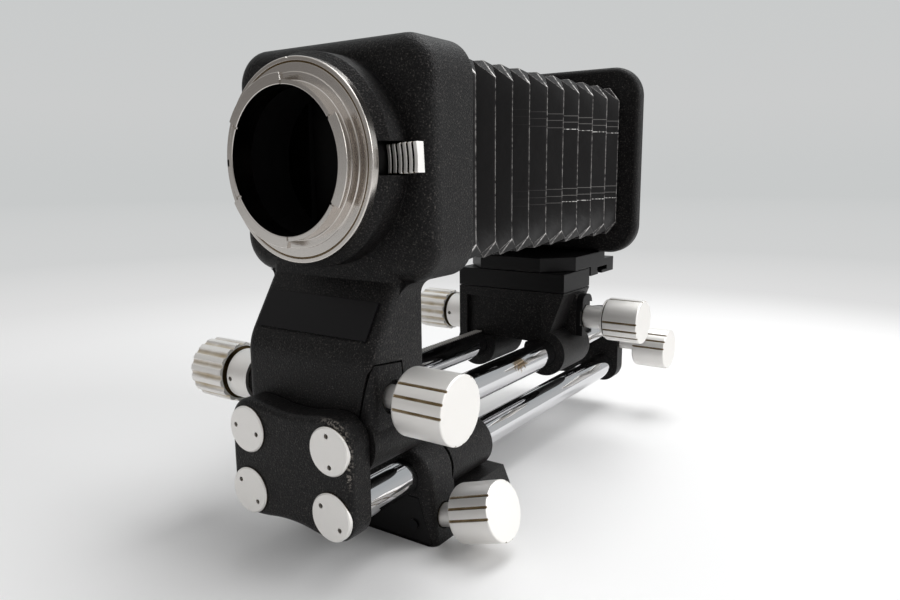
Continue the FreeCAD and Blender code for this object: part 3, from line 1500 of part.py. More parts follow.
def make_swing():
    """The swing plate on its pivot, with a tongue that carries the guide of the shift slide."""
    half = d.neck_half_width
    plate = block("swing_plate_deck", (-half, half), (lens_near, lens_far), (swing_bottom, swing_top))
    reach = lens_far + d.tongue_length
    tongue = block("swing_tongue", (-d.tongue_half_width, d.tongue_half_width),
                   (lens_far - PAST, reach), (swing_bottom, tongue_top))
    gap = d.dovetail_gap
    head_near = dovetail_y - d.dovetail_head_back + gap
    head_low = shift_block_bottom + d.dovetail_lip + gap
    head_top = head_low + d.dovetail_head_height - 2 * gap
    stem = block("swing_guide_stem", (-d.tongue_half_width, d.tongue_half_width),
                 (dovetail_y + gap, dovetail_y + d.dovetail_neck - gap), (tongue_top - PAST, head_low + gap))
    head = block("swing_guide_head", (-d.tongue_half_width, d.tongue_half_width),
                 (head_near, head_near + d.dovetail_head - 2 * gap), (head_low, head_top))
    solid = fuse("swing_plate_solid", plate, tongue, stem, head)
    centre = (0.0, pivot_y)
    bore = rod("pivot_bore", "z", d.pivot_radius + d.turn_clearance,
               (swing_bottom - PAST, swing_top + PAST), centre)
    seat = rod("pivot_head_seat", "z", d.pivot_head_radius + d.seat_gap,
               (swing_top - d.pivot_head_height - d.seat_gap, swing_top + PAST), centre)
    keep(cut("swing_plate", solid, bore, seat), "swing_plate")
    head_top = swing_top
    head_low = swing_top - d.pivot_head_height
    foot = deck_top - d.pivot_depth + d.press_gap
    radius = d.pivot_radius
    pivot = turned("swing_pivot", "z",
                   [(foot, 0.0), (foot, radius), (head_low, radius), (head_low, d.pivot_head_radius),
                    (head_top, d.pivot_head_radius), (head_top, 0.0)])
    place(pivot, 0.0, pivot_y, 0.0)
    keep(pivot, "swing_pivot")


def make_shift_slide():
    """The slide that carries the lens frame: a deck with cut corners and a grooved front block."""
    half = d.neck_half_width
    nose = d.shift_nose_half_width
    deck = prism("shift_deck", "XY",
                 [(-nose, lens_near), (nose, lens_near), (half, lens_near + d.shift_nose_length),
                  (half, shift_block_far), (-half, shift_block_far),
                  (-half, lens_near + d.shift_nose_length)],
                 (shift_bottom, shift_top))
    front = block("shift_block", (-half, half), (shift_block_near, shift_block_far),
                  (shift_block_bottom, shift_top))
    lip = block("shift_lip", (-half, half), (shift_block_far - PAST, shift_lip_far),
                (shift_block_bottom, shift_top - d.shift_lip_step))
    solid = fuse("shift_slide_solid", deck, front, lip)
    mouth = block("guide_mouth", (-half - PAST, half + PAST), (dovetail_y, dovetail_y + d.dovetail_neck),
                  (shift_block_bottom - PAST, shift_block_bottom + d.dovetail_lip + d.dovetail_gap))
    head_near = dovetail_y - d.dovetail_head_back
    cavity = block("guide_cavity", (-half - PAST, half + PAST), (head_near, head_near + d.dovetail_head),
                   (shift_block_bottom + d.dovetail_lip,
                    shift_block_bottom + d.dovetail_lip + d.dovetail_head_height))
    hole = rod("shift_lever_hole", "y", d.lever_stud_radius, (shift_lip_far - d.lever_stud_length,
                                                              shift_lip_far + PAST),
               (d.shift_lever_offset, shift_lever_z))
    keep(cut("shift_slide", solid, mouth, cavity, hole), "shift_slide")


def make_lens_frame():
    """The upright plate that holds the front of the bellows and the lens bayonet."""
    half = d.frame_plate_half_width
    top = shift_top + d.frame_plate_height
    plate = prism("lens_frame_blank", "XZ",
                  [(-half, shift_top), (half, shift_top), (half, top), (-half, top)],
                  (frame_near, frame_far))
    soften(plate, d.frame_plate_corner, along("y"))
    soften(plate, d.frame_plate_edge, flat_on("y", frame_near))
    soften(plate, d.frame_plate_edge, flat_on("y", frame_far))
    seat_depth = d.bellows_frame_thickness
    wide, tall = lens_seat_sizes(d.press_gap)
    tools = [
        rod("lens_window", "y", d.frame_window_radius, (frame_near - PAST, frame_far + PAST),
            (0.0, mount_height)),
        block("front_frame_seat", (-wide, wide), (frame_near - PAST, frame_near + seat_depth),
              (mount_height - tall, mount_height + tall)),
        rod("lens_button_bore", "y", d.lens_button_radius + d.turn_clearance,
            (frame_far - d.lens_button_length + d.lens_button_proud - d.lens_button_travel - d.seat_gap,
             frame_far + PAST), (lens_button_x, mount_height)),
    ]
    for spot in ring_screw_places():
        tools.append(rod("ring_screw_hole", "y", d.ring_screw_radius + d.press_gap,
                         (ring_screw_tip, frame_far + PAST), spot))
    keep(cut("lens_frame_plate", plate, *tools), "lens_frame_plate")
    wide, tall = lens_seat_sizes(0.0)
    keep(bellows_frame("bellows_front_frame", (frame_near, frame_near + seat_depth), wide, tall),
         "bellows_front_frame")


def lens_seat_sizes(gap):
    """Half the width and half the height of the front bellows frame, or of its seat with a gap."""
    return (bellows_half_width - d.last_pleat_offset / 2 + gap,
            bellows_half_height - d.last_pleat_offset / 2 + gap)


def ring_screw_places():
    spots = []
    for k in range(int(d.ring_screws.value)):
        angle = d.ring_screw_turn + k * 360 / d.ring_screws.value
        spots.append((d.ring_screw_circle * cosine(angle), mount_height + d.ring_screw_circle * sine(angle)))
    return spots


def make_lens_mount():
    """The lens bayonet ring with its five screws, and the sprung button that frees a lens."""
    ring_front = frame_far + d.lens_ring_depth
    step = ring_front - d.lens_ring_step_depth
    ring = turned("lens_mount_ring_blank", "y",
                  [(frame_far, d.lens_ring_bore), (frame_far, d.lens_ring_radius),
                   (ring_front - d.knob_chamfer, d.lens_ring_radius),
                   (ring_front, d.lens_ring_radius - d.knob_chamfer),
                   (ring_front, d.lens_ring_step_radius), (step, d.lens_ring_step_radius),
                   (step, d.lens_ring_bore)])
    place(ring, 0.0, 0.0, mount_height)
    head_floor = ring_front - d.ring_screw_head_depth
    tools = []
    for spot in ring_screw_places():
        tools.append(rod("ring_hole", "y", d.ring_screw_radius + d.press_gap,
                         (frame_far - PAST, ring_front + PAST), spot))
        tools.append(rod("ring_head_seat", "y", d.ring_screw_head + d.press_gap,
                         (head_floor, ring_front + PAST), spot))
    keep(cut("lens_mount_ring", ring, *tools), "lens_mount_ring")
    screws = []
    tip = ring_screw_tip + d.press_gap
    for k, (x, z) in enumerate(ring_screw_places()):
        profile = [(tip, 0.0), (tip, d.ring_screw_radius), (head_floor, d.ring_screw_radius),
                   (head_floor, d.ring_screw_head), (ring_front, d.ring_screw_head), (ring_front, 0.0)]
        body = turned("lens_mount_screw_%d" % k, "y", profile)
        place(body, x, 0.0, z)
        screws.append(body)
    keep(group("lens_mount_screws", screws), "lens_mount_screws")
    start = frame_far - d.lens_button_length + d.lens_button_proud
    end = frame_far + d.lens_button_proud
    radius = d.lens_button_radius
    chamfer = d.knob_chamfer
    button = turned("lens_release_button", "y",
                    [(start, 0.0), (start, radius), (end - chamfer, radius),
                     (end, radius - chamfer), (end, 0.0)])
    place(button, lens_button_x, 0.0, mount_height)
    keep(button, "lens_release_button")
    spring = rod("lens_button_spring", "y", d.lens_button_spring_radius,
                 (start - d.lens_button_travel - d.seat_gap, start - d.turn_clearance),
                 (lens_button_x, mount_height))
    keep(spring, "lens_button_spring")


def lock_lever(name, x, face, z, way):
    """A small clamping lever whose stud turns in a hole in the casting behind it."""
    near = face + d.seat_gap
    far = near + d.lever_thickness
    hub = rod(name + "_hub", "y", d.lever_hub_radius, (near, far), (x, z))
    stud = rod(name + "_stud", "y", d.lever_stud_radius - d.turn_clearance,
               (face - d.lever_stud_length + d.seat_gap, far - PAST), (x, z))
    tip = x + way * d.lever_length
    half = d.lever_width / 2
    arm = block(name + "_arm", sorted((x, tip), key=float), (near, far), (z - half, z + half))
    end = rod(name + "_end", "y", half, (near, far), (tip, z))
    keep(fuse(name, hub, stud, arm, end), name)


swing_lever_x = -d.swing_lever_offset
swing_lever_z = deck_top - d.swing_lever_drop
shift_lever_z = (shift_block_bottom + shift_top - d.shift_lip_step) / 2
lens_button_x = -d.lens_button_offset
ring_screw_tip = frame_far + d.lens_ring_depth - d.ring_screw_head_depth - d.ring_screw_length
make_lens_casting()
make_swing()
make_shift_slide()
make_lens_frame()
make_lens_mount()
lock_lever("swing_lock_lever", swing_lever_x, lens_far, swing_lever_z, -1)
lock_lever("shift_lock_lever", d.shift_lever_offset, shift_lip_far, shift_lever_z, -1)

lens_plate_outer = neck_side + d.clamp_plate_thickness
clamp_plate("lens_clamp_plate", lens_near + d.lens_clamp_near, lens_near + d.lens_clamp_far,
            upper_height + d.lens_clamp_bottom, upper_height + d.lens_clamp_top, lens_plate_outer,
            lens_lock_y, lens_lock_z)
lens_knob_start = lens_plate_outer + d.lens_lock_knob_gap
lock_spindle("lens_lock_spindle", right_x - d.spindle_reach / 2,
             lens_plate_outer - d.clamp_recess_depth + d.seat_gap, lens_knob_start,
             d.lens_lock_knob_length, (lens_lock_y, lens_lock_z), d.lens_lock_collar_radius)
lock_knob("lens_lock_knob", d.lens_lock_knob_radius, d.lens_lock_knob_length,
          lens_knob_start, (lens_lock_y, lens_lock_z), d.lens_lock_groove_turn)
clamp_shoe("lens_clamp_shoe", lens_lock_y, upper_height + d.rail_radius + d.seat_gap,
           lens_lock_z - d.spindle_radius)

lens_sleeve_start = -neck_side - d.lens_boss_length
lens_drive_start = lens_sleeve_start - d.lens_sleeve_length - d.drive_knob_gap
drive_sleeve("lens_drive_sleeve", d.lens_sleeve_radius, d.lens_sleeve_length,
             lens_sleeve_start, lens_drive_y, lens_drive_z)
pinion_shaft("lens_pinion_shaft", lens_pinion_radius, int(d.lens_pinion_teeth.value),
             lens_drive_y, lens_drive_z, lens_drive_start, d.lens_drive_knob_length)
drive_knob("lens_drive_knob", d.lens_drive_knob_radius, d.lens_drive_knob_length,
           lens_drive_start, (lens_drive_y, lens_drive_z))


# ---------------------------------------------------------------- checks and files

doc.recompute()
for thing in doc.Objects:
    if "Invalid" in thing.State or "Error" in thing.State:
        raise RuntimeError("%s failed: %s" % (thing.Name, thing.State))
for thing in nodes:
    if thing.Shape.isNull() or not thing.Shape.isValid():
        raise RuntimeError("%s has no valid shape" % thing.Label)
    box = thing.Shape.BoundBox
    print("%-26s %2d solids %9.1f mm3  x %7.2f %7.2f  y %7.2f %7.2f  z %7.2f %7.2f" % (
        thing.Label, len(thing.Shape.Solids), thing.Shape.Volume,
        box.XMin, box.XMax, box.YMin, box.YMax, box.ZMin, box.ZMax))
    thing.Shape.exportStep("parts/%s.step" % thing.Label)
print("%d nodes" % len(nodes))
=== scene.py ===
import math

import bmesh
import bpy
import numpy as np
from mathutils import Matrix, Vector


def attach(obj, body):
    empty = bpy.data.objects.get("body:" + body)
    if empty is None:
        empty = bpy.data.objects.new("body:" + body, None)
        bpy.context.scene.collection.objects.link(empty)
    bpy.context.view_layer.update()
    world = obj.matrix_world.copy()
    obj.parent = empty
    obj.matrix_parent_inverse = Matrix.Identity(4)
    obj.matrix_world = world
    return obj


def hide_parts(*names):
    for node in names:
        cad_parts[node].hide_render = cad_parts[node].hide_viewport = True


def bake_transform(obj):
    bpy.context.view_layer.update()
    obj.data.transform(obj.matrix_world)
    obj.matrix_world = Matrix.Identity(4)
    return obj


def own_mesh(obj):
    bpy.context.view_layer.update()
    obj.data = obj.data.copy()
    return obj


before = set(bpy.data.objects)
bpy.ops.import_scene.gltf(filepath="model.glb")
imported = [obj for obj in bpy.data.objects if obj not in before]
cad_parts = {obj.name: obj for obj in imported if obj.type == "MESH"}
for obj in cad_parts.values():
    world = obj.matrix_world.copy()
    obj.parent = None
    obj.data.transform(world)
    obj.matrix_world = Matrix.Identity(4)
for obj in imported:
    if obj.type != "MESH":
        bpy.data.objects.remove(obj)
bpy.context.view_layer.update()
scene = bpy.context.scene
scene.view_settings.view_transform = "Standard"
MM = 0.001

# ------------------------------------------------------------------ camera
# A camera stands off the right rear corner of the unit, level with the mount, and looks slightly down.

camera_place = Vector((152.872, -197.503, 117.666)) * MM
camera_azimuth, camera_dip, camera_roll = (math.radians(a) for a in (34.226, 10.125, -0.501))
ahead = Vector((-math.sin(camera_azimuth) * math.cos(camera_dip),
                math.cos(camera_azimuth) * math.cos(camera_dip), -math.sin(camera_dip)))
level = Vector((math.cos(camera_azimuth), math.sin(camera_azimuth), 0.0))
upright = level.cross(ahead)
across = level * math.cos(camera_roll) + upright * math.sin(camera_roll)
above = upright * math.cos(camera_roll) - level * math.sin(camera_roll)
camera_data = bpy.data.cameras.new("camera")
camera_data.lens = 29.258
camera_data.sensor_width = 36.0
camera = bpy.data.objects.new("camera", camera_data)
turn = Matrix((across, above, -ahead)).transposed()
camera.matrix_world = Matrix.Translation(camera_place) @ turn.to_4x4()
scene.collection.objects.link(camera)
scene.camera = camera

# ------------------------------------------------------------------ floor, backdrop and lamps
# A white table sheet runs back into a pale grey room. Soft lamps hang overhead and to the right and
# behind, so the shadows fall towards the near left, and the room behind the camera is dim.


def tint(code):
    """The linear colour of an sRGB hex code: each channel through the sRGB curve."""
    channels = [int(code[k:k + 2], 16) / 255 for k in (1, 3, 5)]
    return tuple(c / 12.92 if c <= 0.04045 else ((c + 0.055) / 1.055) ** 2.4 for c in channels) + (1.0,)


def node(tree, kind, inputs=None, stops=None, **settings):
    """Add a node with its settings, its input values or links, and the stops of a colour ramp."""
    made = tree.nodes.new("ShaderNode" + kind)
    for name, value in settings.items():
        setattr(made, name, value)
    for name, value in (inputs or {}).items():
        if isinstance(value, bpy.types.NodeSocket):
            tree.links.new(value, made.inputs[name])
        else:
            made.inputs[name].default_value = value
    if stops:
        while len(made.color_ramp.elements) < len(stops):
            made.color_ramp.elements.new(1.0)
        for element, (place, colour) in zip(made.color_ramp.elements, stops):
            element.position = place
            element.color = tint(colour)
    return made


def new_material(name):
    material = bpy.data.materials.new(name)
    material.use_nodes = True
    tree = material.node_tree
    return material, tree, tree.nodes["Principled BSDF"]


floor_reach = 6.0
floor_mesh = bpy.data.meshes.new("floor")
floor_mesh.from_pydata([(-floor_reach, -floor_reach, 0), (floor_reach, -floor_reach, 0),
                        (floor_reach, floor_reach, 0), (-floor_reach, floor_reach, 0)], [], [(0, 1, 2, 3)])
floor = bpy.data.objects.new("floor", floor_mesh)
scene.collection.objects.link(floor)

# Matt white paper: near the unit it keeps the shadows, and further off it fades to the grey of the room.
paper, tree, shader = new_material("matt_white_paper")
shader.inputs["Base Color"].default_value = tint("#F1F1F1")
shader.inputs["Roughness"].default_value = 0.6
place = node(tree, "TexCoord").outputs["Object"]
centred = node(tree, "Mapping", {"Vector": place, "Location": (0.0, -0.05, 0.0)}).outputs[0]
distance = node(tree, "VectorMath", {0: centred}, operation="LENGTH").outputs["Value"]
far_tone = node(tree, "ValToRGB", {"Fac": node(tree, "MapRange", {"Value": distance, "From Min": 0.3,
                "From Max": 3.0}).outputs[0]},
                stops=[(0.0, "#F2F2F2"), (0.02, "#E8E8E8"), (0.07, "#DEDEDE"), (0.2, "#D0D1D1"),
                       (1.0, "#C8CACA")])
fade = node(tree, "MapRange", {"Value": distance, "From Min": 0.28, "From Max": 0.5},
            interpolation_type="SMOOTHSTEP").outputs[0]
rays = node(tree, "LightPath")
seen = node(tree, "Math", {0: rays.outputs["Is Camera Ray"], 1: rays.outputs["Is Glossy Ray"]},
            operation="MAXIMUM").outputs[0]
share = node(tree, "Math", {0: fade, 1: seen}, operation="MULTIPLY").outputs[0]
glow = node(tree, "Emission", {"Color": far_tone.outputs["Color"], "Strength": 1.0})
mixed = node(tree, "MixShader", {0: share, 1: shader.outputs[0], 2: glow.outputs[0]})
tree.links.new(mixed.outputs[0], tree.nodes["Material Output"].inputs["Surface"])
floor_mesh.materials.append(paper)

world = bpy.data.worlds.new("pale_room")
scene.world = world
world.use_nodes = True
tree = world.node_tree
sky = tree.nodes["Background"]
way = node(tree, "SeparateXYZ", {0: node(tree, "TexCoord").outputs["Generated"]})
height, depth = way.outputs["Z"], way.outputs["Y"]
wall_tone = node(tree, "ValToRGB", {"Fac": height},
                 stops=[(0.0, "#C8CACA"), (0.08, "#CBCCCC"), (0.2, "#C9CBCB"), (0.5, "#BFC3C4")])
# Metal and gloss see the pale backdrop on the far side, and a dim room under a bright ceiling in front.
room_tone = node(tree, "ValToRGB", {"Fac": height},
                 stops=[(0.0, "#84817F"), (0.25, "#8C8A88"), (0.5, "#C4C3C2"), (0.8, "#E6E6E6")])
beyond = node(tree, "MapRange", {"Value": depth, "From Min": -0.25, "From Max": 0.35},
              interpolation_type="SMOOTHSTEP").outputs[0]
mirrored = node(tree, "MixRGB", {0: beyond, 1: room_tone.outputs["Color"], 2: wall_tone.outputs["Color"]})
rays = node(tree, "LightPath")
polished = node(tree, "MixRGB", {0: rays.outputs["Is Glossy Ray"], 1: (0.42, 0.42, 0.42, 1.0),
                2: mirrored.outputs[0]})
seen_tone = node(tree, "MixRGB", {0: rays.outputs["Is Camera Ray"], 1: polished.outputs[0],
                 2: wall_tone.outputs["Color"]})
tree.links.new(seen_tone.outputs[0], sky.inputs["Color"])
sky.inputs["Strength"].default_value = 1.0
lamp_target = Vector((0.0, 0.04, 0.06))


def soft_lamp(name, place, size, watts):
    """A square soft box that faces the unit."""
    data = bpy.data.lights.new(name, "AREA")
    data.energy = watts
    data.size = size
    lamp = bpy.data.objects.new(name, data)
    lamp.location = place
    lamp.rotation_euler = (lamp_target - Vector(place)).to_track_quat("-Z", "Y").to_euler()
    scene.collection.objects.link(lamp)


soft_lamp("lamp_overhead", (0.1, 0.35, 1.0), 0.7, 7.0)
soft_lamp("lamp_right", (0.95, 0.35, 0.55), 0.6, 6.0)

# ------------------------------------------------------------------ crackle castings
# The tripod block, both end plates, both standards and the lens frame are light alloy castings.
# They are sprayed with a black enamel that wrinkles into fine grains as it bakes.


def dress(material, *names):
    """Give a finish to pieces of the construction."""
    for name in names:
        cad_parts[name].material_slots[0].material = material


def softened_normal(tree, radius):
    """The surface direction with all edges rounded off by a radius, as on a cast or painted edge."""
    return node(tree, "Bevel", {"Radius": radius}, samples=4).outputs[0]


def crackle_enamel(name, grain, depth, roughness, colour, grain_colour, painted_glint_colour, rubbed_colour,
                   chipped_corner=None):
    """Black wrinkle enamel: grains are rounded cells with pale glints painted in as highlights, and rubbed
    edges show lighter.

    Near a chipped corner the enamel has flaked off the edge in small specks, down to bare alloy."""
    material, tree, shader = new_material(name)
    place = node(tree, "TexCoord").outputs["Object"]
    bend = node(tree, "TexNoise", {"Vector": place, "Scale": 0.7 / grain, "Detail": 1.0})
    offset = node(tree, "VectorMath", {0: bend.outputs["Color"], 1: (grain * 0.7,) * 3}, operation="MULTIPLY")
    shifted = node(tree, "VectorMath", {0: place, 1: offset.outputs[0]}, operation="ADD").outputs[0]
    cells = node(tree, "TexVoronoi", {"Vector": shifted, "Scale": 1.0 / grain}, feature="SMOOTH_F1")
    speck = node(tree, "TexNoise", {"Vector": place, "Scale": 1.6 / grain, "Detail": 2.0})
    relief = node(tree, "Math", {0: cells.outputs["Distance"], 1: speck.outputs[0]}, operation="SUBTRACT")
    rounded = softened_normal(tree, 0.5 * MM)
    bump = node(tree, "Bump", {"Height": relief.outputs[0], "Strength": 1.0, "Distance": depth,
                "Normal": rounded}, invert=True)
    flat = node(tree, "NewGeometry").outputs["Normal"]
    facing = node(tree, "VectorMath", {0: rounded, 1: flat}, operation="DOT_PRODUCT").outputs["Value"]
    edge = node(tree, "MapRange", {"Value": facing, "From Min": 0.985, "From Max": 0.9}).outputs[0]
    rub = node(tree, "TexNoise", {"Vector": place, "Scale": 90.0, "Detail": 4.0}).outputs[0]
    rubbed = node(tree, "MapRange", {"Value": rub, "From Min": 0.52, "From Max": 0.75}).outputs[0]
    wear = node(tree, "Math", {0: edge, 1: rubbed}, operation="MULTIPLY").outputs[0]
    # Pale glints are painted into the colour as highlights on the grains.
    painted_glints = node(tree, "TexNoise", {"Vector": place, "Scale": 1.05 / grain, "Detail": 1.5, "Roughness": 0.6})
    grain_and_painted_glints = node(tree, "ValToRGB", {"Fac": painted_glints.outputs[0]},
                  stops=[(0.0, "#030203"), (0.43, colour), (0.6, grain_colour), (0.76, painted_glint_colour)])
    tone = node(tree, "MixRGB", {0: wear, 1: grain_and_painted_glints.outputs["Color"], 2: tint(rubbed_colour)})
    if chipped_corner:
        corner, reach = chipped_corner
        away = node(tree, "VectorMath", {0: place, 1: Vector(corner) * MM},
                    operation="DISTANCE").outputs["Value"]
        near = node(tree, "MapRange", {"Value": away, "From Min": reach * MM, "From Max": 0.7 * reach * MM})
        flakes = node(tree, "TexNoise", {"Vector": place, "Scale": 1300.0, "Detail": 3.0}).outputs[0]
        loose = node(tree, "MapRange", {"Value": flakes, "From Min": 0.5, "From Max": 0.62})
        rim = node(tree, "MapRange", {"Value": node(tree, "SeparateXYZ", {0: place}).outputs["Y"],
                   "From Min": (corner[1] + 1.5) * MM, "From Max": (corner[1] + 0.5) * MM})
        lean = node(tree, "MapRange", {"Value": node(tree, "SeparateXYZ", {0: flat}).outputs["Y"],
                    "From Min": -0.995, "From Max": -0.95})
        share = near
        for part in (loose, rim, lean):
            share = node(tree, "Math", {0: share.outputs[0], 1: part.outputs[0]}, operation="MULTIPLY")
        tone = node(tree, "MixRGB", {0: share.outputs[0], 1: tone.outputs[0], 2: tint("#827C76")})
    tree.links.new(tone.outputs[0], shader.inputs["Base Color"])
    tree.links.new(bump.outputs[0], shader.inputs["Normal"])
    shader.inputs["Roughness"].default_value = roughness
    shader.inputs["IOR"].default_value = 1.5
    shader.inputs["Specular IOR Level"].default_value = 0.18
    return material


CRACKLE = dict(grain=0.5 * MM, depth=0.12 * MM, roughness=0.45, colour="#090809", grain_colour="#1B1A1A",
               painted_glint_colour="#4C4845", rubbed_colour="#262423")
crackle = crackle_enamel("crackle_enamel_on_cast_alloy", **CRACKLE)
dress(crackle, "tripod_block_body", "front_end_plate", "camera_standard_body", "camera_clamp_plate",
      "lens_carriage_body", "lens_frame_plate")
chipped = crackle_enamel("crackle_enamel_chipped_at_a_corner",
                         chipped_corner=((23.5, -57.5, 43.0), 13.0), **CRACKLE)
dress(chipped, "rear_end_plate")

# ------------------------------------------------------------------ satin black plates
# The cover, the lens clamp plate, the swing plate and the shift slide are machined flat, painted thin
# and stoved, which leaves them smoother than the castings.

satin = crackle_enamel("satin_black_stove_enamel", grain=0.4 * MM, depth=0.02 * MM, roughness=0.42,
                       colour="#0B0A0B", grain_colour="#0E0D0E", painted_glint_colour="#161516",
                       rubbed_colour="#2A2826")
dress(satin, "tripod_cover", "lens_clamp_plate", "swing_plate", "shift_slide")

# ------------------------------------------------------------------ rails and rack
# Four steel tubes, ground and hard chromed. The chrome has fine scratches from sliding, a slight wave
# from the grinding, and brown spots of rust in one place. The rack is bare milled steel.


def metal(name, colour, roughness):
    """A metal finish of one colour and roughness."""
    material, tree, shader = new_material(name)
    shader.inputs["Base Color"].default_value = tint(colour)
    shader.inputs["Metallic"].default_value = 1.0
    shader.inputs["Roughness"].default_value = roughness
    return material, tree, shader


chrome_colour, steel_colour, flange_colour = "#D2D2D4", "#B4B2AF", "#CFCAC5"


def rail_chrome(name, rust_spot=None):
    """Hard chrome with scratches along the rail, and rust where a spot is named."""
    material, tree, shader = metal(name, chrome_colour, 0.05)
    place = node(tree, "TexCoord").outputs["Object"]
    along_rail = node(tree, "Mapping", {"Vector": place, "Scale": (1.0, 0.04, 1.0)}).outputs[0]
    lines = node(tree, "TexNoise", {"Vector": along_rail, "Scale": 2600.0, "Detail": 3.0}).outputs[0]
    wipe = node(tree, "MapRange", {"Value": lines, "From Min": 0.6, "From Max": 0.8, "To Min": 0.04,
                "To Max": 0.2}).outputs[0]
    tree.links.new(wipe, shader.inputs["Roughness"])
    ground = node(tree, "Mapping", {"Vector": place, "Scale": (1.0, 0.35, 1.0)}).outputs[0]
    wave = node(tree, "TexNoise", {"Vector": ground, "Scale": 110.0, "Detail": 1.0}).outputs[0]
    bump = node(tree, "Bump", {"Height": wave, "Strength": 1.0, "Distance": 0.05 * MM})
    tree.links.new(bump.outputs[0], shader.inputs["Normal"])
    if rust_spot:
        centre, reach = rust_spot
        offset = node(tree, "VectorMath", {0: place, 1: Vector(centre) * MM}, operation="SUBTRACT").outputs[0]
        offset = node(tree, "VectorMath", {0: offset, 1: (1.0, 0.55, 1.0)}, operation="MULTIPLY").outputs[0]
        away = node(tree, "VectorMath", {0: offset}, operation="LENGTH").outputs["Value"]
        near = node(tree, "MapRange", {"Value": away, "From Min": reach * MM, "From Max": 0.0}).outputs[0]
        spots = node(tree, "TexNoise", {"Vector": place, "Scale": 800.0, "Detail": 4.0,
                     "Roughness": 0.7}).outputs[0]
        both = node(tree, "Math", {0: spots, 1: near}, operation="ADD").outputs[0]
        rust = node(tree, "MapRange", {"Value": both, "From Min": 1.05, "From Max": 1.2}).outputs[0]
        tone = node(tree, "MixRGB", {0: rust, 1: tint(chrome_colour), 2: tint("#8C7A64")})
        tree.links.new(tone.outputs[0], shader.inputs["Base Color"])
    return material


dress(rail_chrome("hard_chrome_on_ground_steel"), "upper_left_rail", "lower_left_rail", "lower_right_rail")
dress(rail_chrome("hard_chrome_with_rust_spots", ((20.5, 43.0, 43.5), 7.0)), "upper_right_rail")

steel, tree, shader = metal("milled_bare_steel", steel_colour, 0.28)
# The steel is painted near-black where ambient occlusion finds it hemmed in: painted shade in recesses and
# where parts meet.
shaded = node(tree, "AmbientOcclusion", {"Distance": 1.2 * MM}, samples=8).outputs["AO"]
tone = node(tree, "ValToRGB", {"Fac": shaded},
            stops=[(0.25, "#0C0B0A"), (0.6, "#3A3632"), (0.85, steel_colour)])
tree.links.new(tone.outputs["Color"], shader.inputs["Base Color"])
dress(steel, "focus_rack", "tripod_thread_insert", "camera_pinion_shaft", "lens_pinion_shaft", "swing_pivot",
      "rotation_button_spring", "lens_button_spring", "lens_release_button")

# ------------------------------------------------------------------ turned aluminium
# Knobs, rail caps, sleeves and spindles are turned from aluminium bar, blasted and anodised clear, so
# they are pale and matt. Oil and dust have turned brown in the milled grooves, and grooves, recesses and
# corners are painted darker still as shade.


def turned_aluminium(name, colour, roughness):
    """Matt turned aluminium, brown to black where the milled attribute says how deep a groove is, as oil and
    painted shade.
    """
    material, tree, shader = metal(name, colour, roughness)
    place = node(tree, "TexCoord").outputs["Object"]
    grain = node(tree, "TexNoise", {"Vector": place, "Scale": 3000.0, "Detail": 2.0}).outputs[0]
    bump = node(tree, "Bump", {"Height": grain, "Strength": 0.5, "Distance": 0.012 * MM,
                "Normal": softened_normal(tree, 0.2 * MM)})
    tree.links.new(bump.outputs[0], shader.inputs["Normal"])
    cloud = node(tree, "TexNoise", {"Vector": place, "Scale": 160.0, "Detail": 3.0}).outputs[0]
    uneven = node(tree, "MapRange", {"Value": cloud, "From Min": 0.3, "From Max": 0.7, "To Min": -0.08,
                  "To Max": 0.08}).outputs[0]
    milled = node(tree, "Attribute", attribute_name="milled").outputs["Fac"]
    # Corners and recesses that ambient occlusion finds hemmed in are painted dark as shade.
    shaded = node(tree, "AmbientOcclusion", {"Distance": 0.9 * MM}, samples=8).outputs["AO"]
    corner = node(tree, "MapRange", {"Value": shaded, "From Min": 0.82, "From Max": 0.5}).outputs[0]
    deepest = node(tree, "Math", {0: milled, 1: corner}, operation="MAXIMUM").outputs[0]
    grime_and_shade = node(tree, "Math", {0: deepest, 1: uneven}, operation="ADD").outputs[0]
    tone = node(tree, "ValToRGB", {"Fac": grime_and_shade},
                stops=[(0.0, colour), (0.1, colour), (0.4, "#B5A486"), (0.62, "#6E5B3E"), (0.85, "#1C1610"),
                       (1.0, "#050404")])
    tree.links.new(tone.outputs["Color"], shader.inputs["Base Color"])
    return material


aluminium = turned_aluminium("matt_anodised_turned_aluminium", "#F0EEEB", 0.55)
dress(aluminium, "rear_rail_caps", "front_rail_caps", "camera_drive_sleeve", "lens_drive_sleeve",
      "accessory_clamp_screw", "tripod_lock_spindle", "camera_lock_spindle", "lens_lock_spindle")

brass = metal("bare_brass", "#B08D4E", 0.35)[0]
dress(brass, "tripod_clamp_shoe", "camera_clamp_shoe", "lens_clamp_shoe")

# Black anodised aluminium is smooth, with very shallow rings from turning that break up the glare.
# A wave advances 20 radians per unit of scale, so the rings lie 2 pi times 0.9 mm apart.
black_anodised, tree, shader = new_material("black_anodised_aluminium")
shader.inputs["Base Color"].default_value = tint("#0A090A")
shader.inputs["Roughness"].default_value = 0.5
shader.inputs["Specular IOR Level"].default_value = 0.25
place = node(tree, "TexCoord").outputs["Object"]
mm_per_radian, radians_per_scale = 0.9, 20.0
shallow_rings = node(tree, "TexWave", {"Vector": place, "Scale": 1000.0 / mm_per_radian / radians_per_scale},
                     bands_direction="Y").outputs[0]
bump = node(tree, "Bump", {"Height": shallow_rings, "Strength": 0.6, "Distance": 0.12 * MM})
tree.links.new(bump.outputs[0], shader.inputs["Normal"])
dress(black_anodised, "mount_sleeve", "turret_retaining_ring", "bellows_rear_frame", "bellows_front_frame",
      "swing_lock_lever", "shift_lock_lever")

blackened = metal("blackened_steel_screws", "#2A2A2B", 0.3)[0]
dress(blackened, "tripod_cover_screws", "bayonet_screws", "lens_mount_screws")

# ------------------------------------------------------------------ knobs
# Six knobs are turned in one form and then milled along the rim. The four lock knobs have three
# clusters of three narrow grooves, and the two drive knobs have shallow flutes all round.


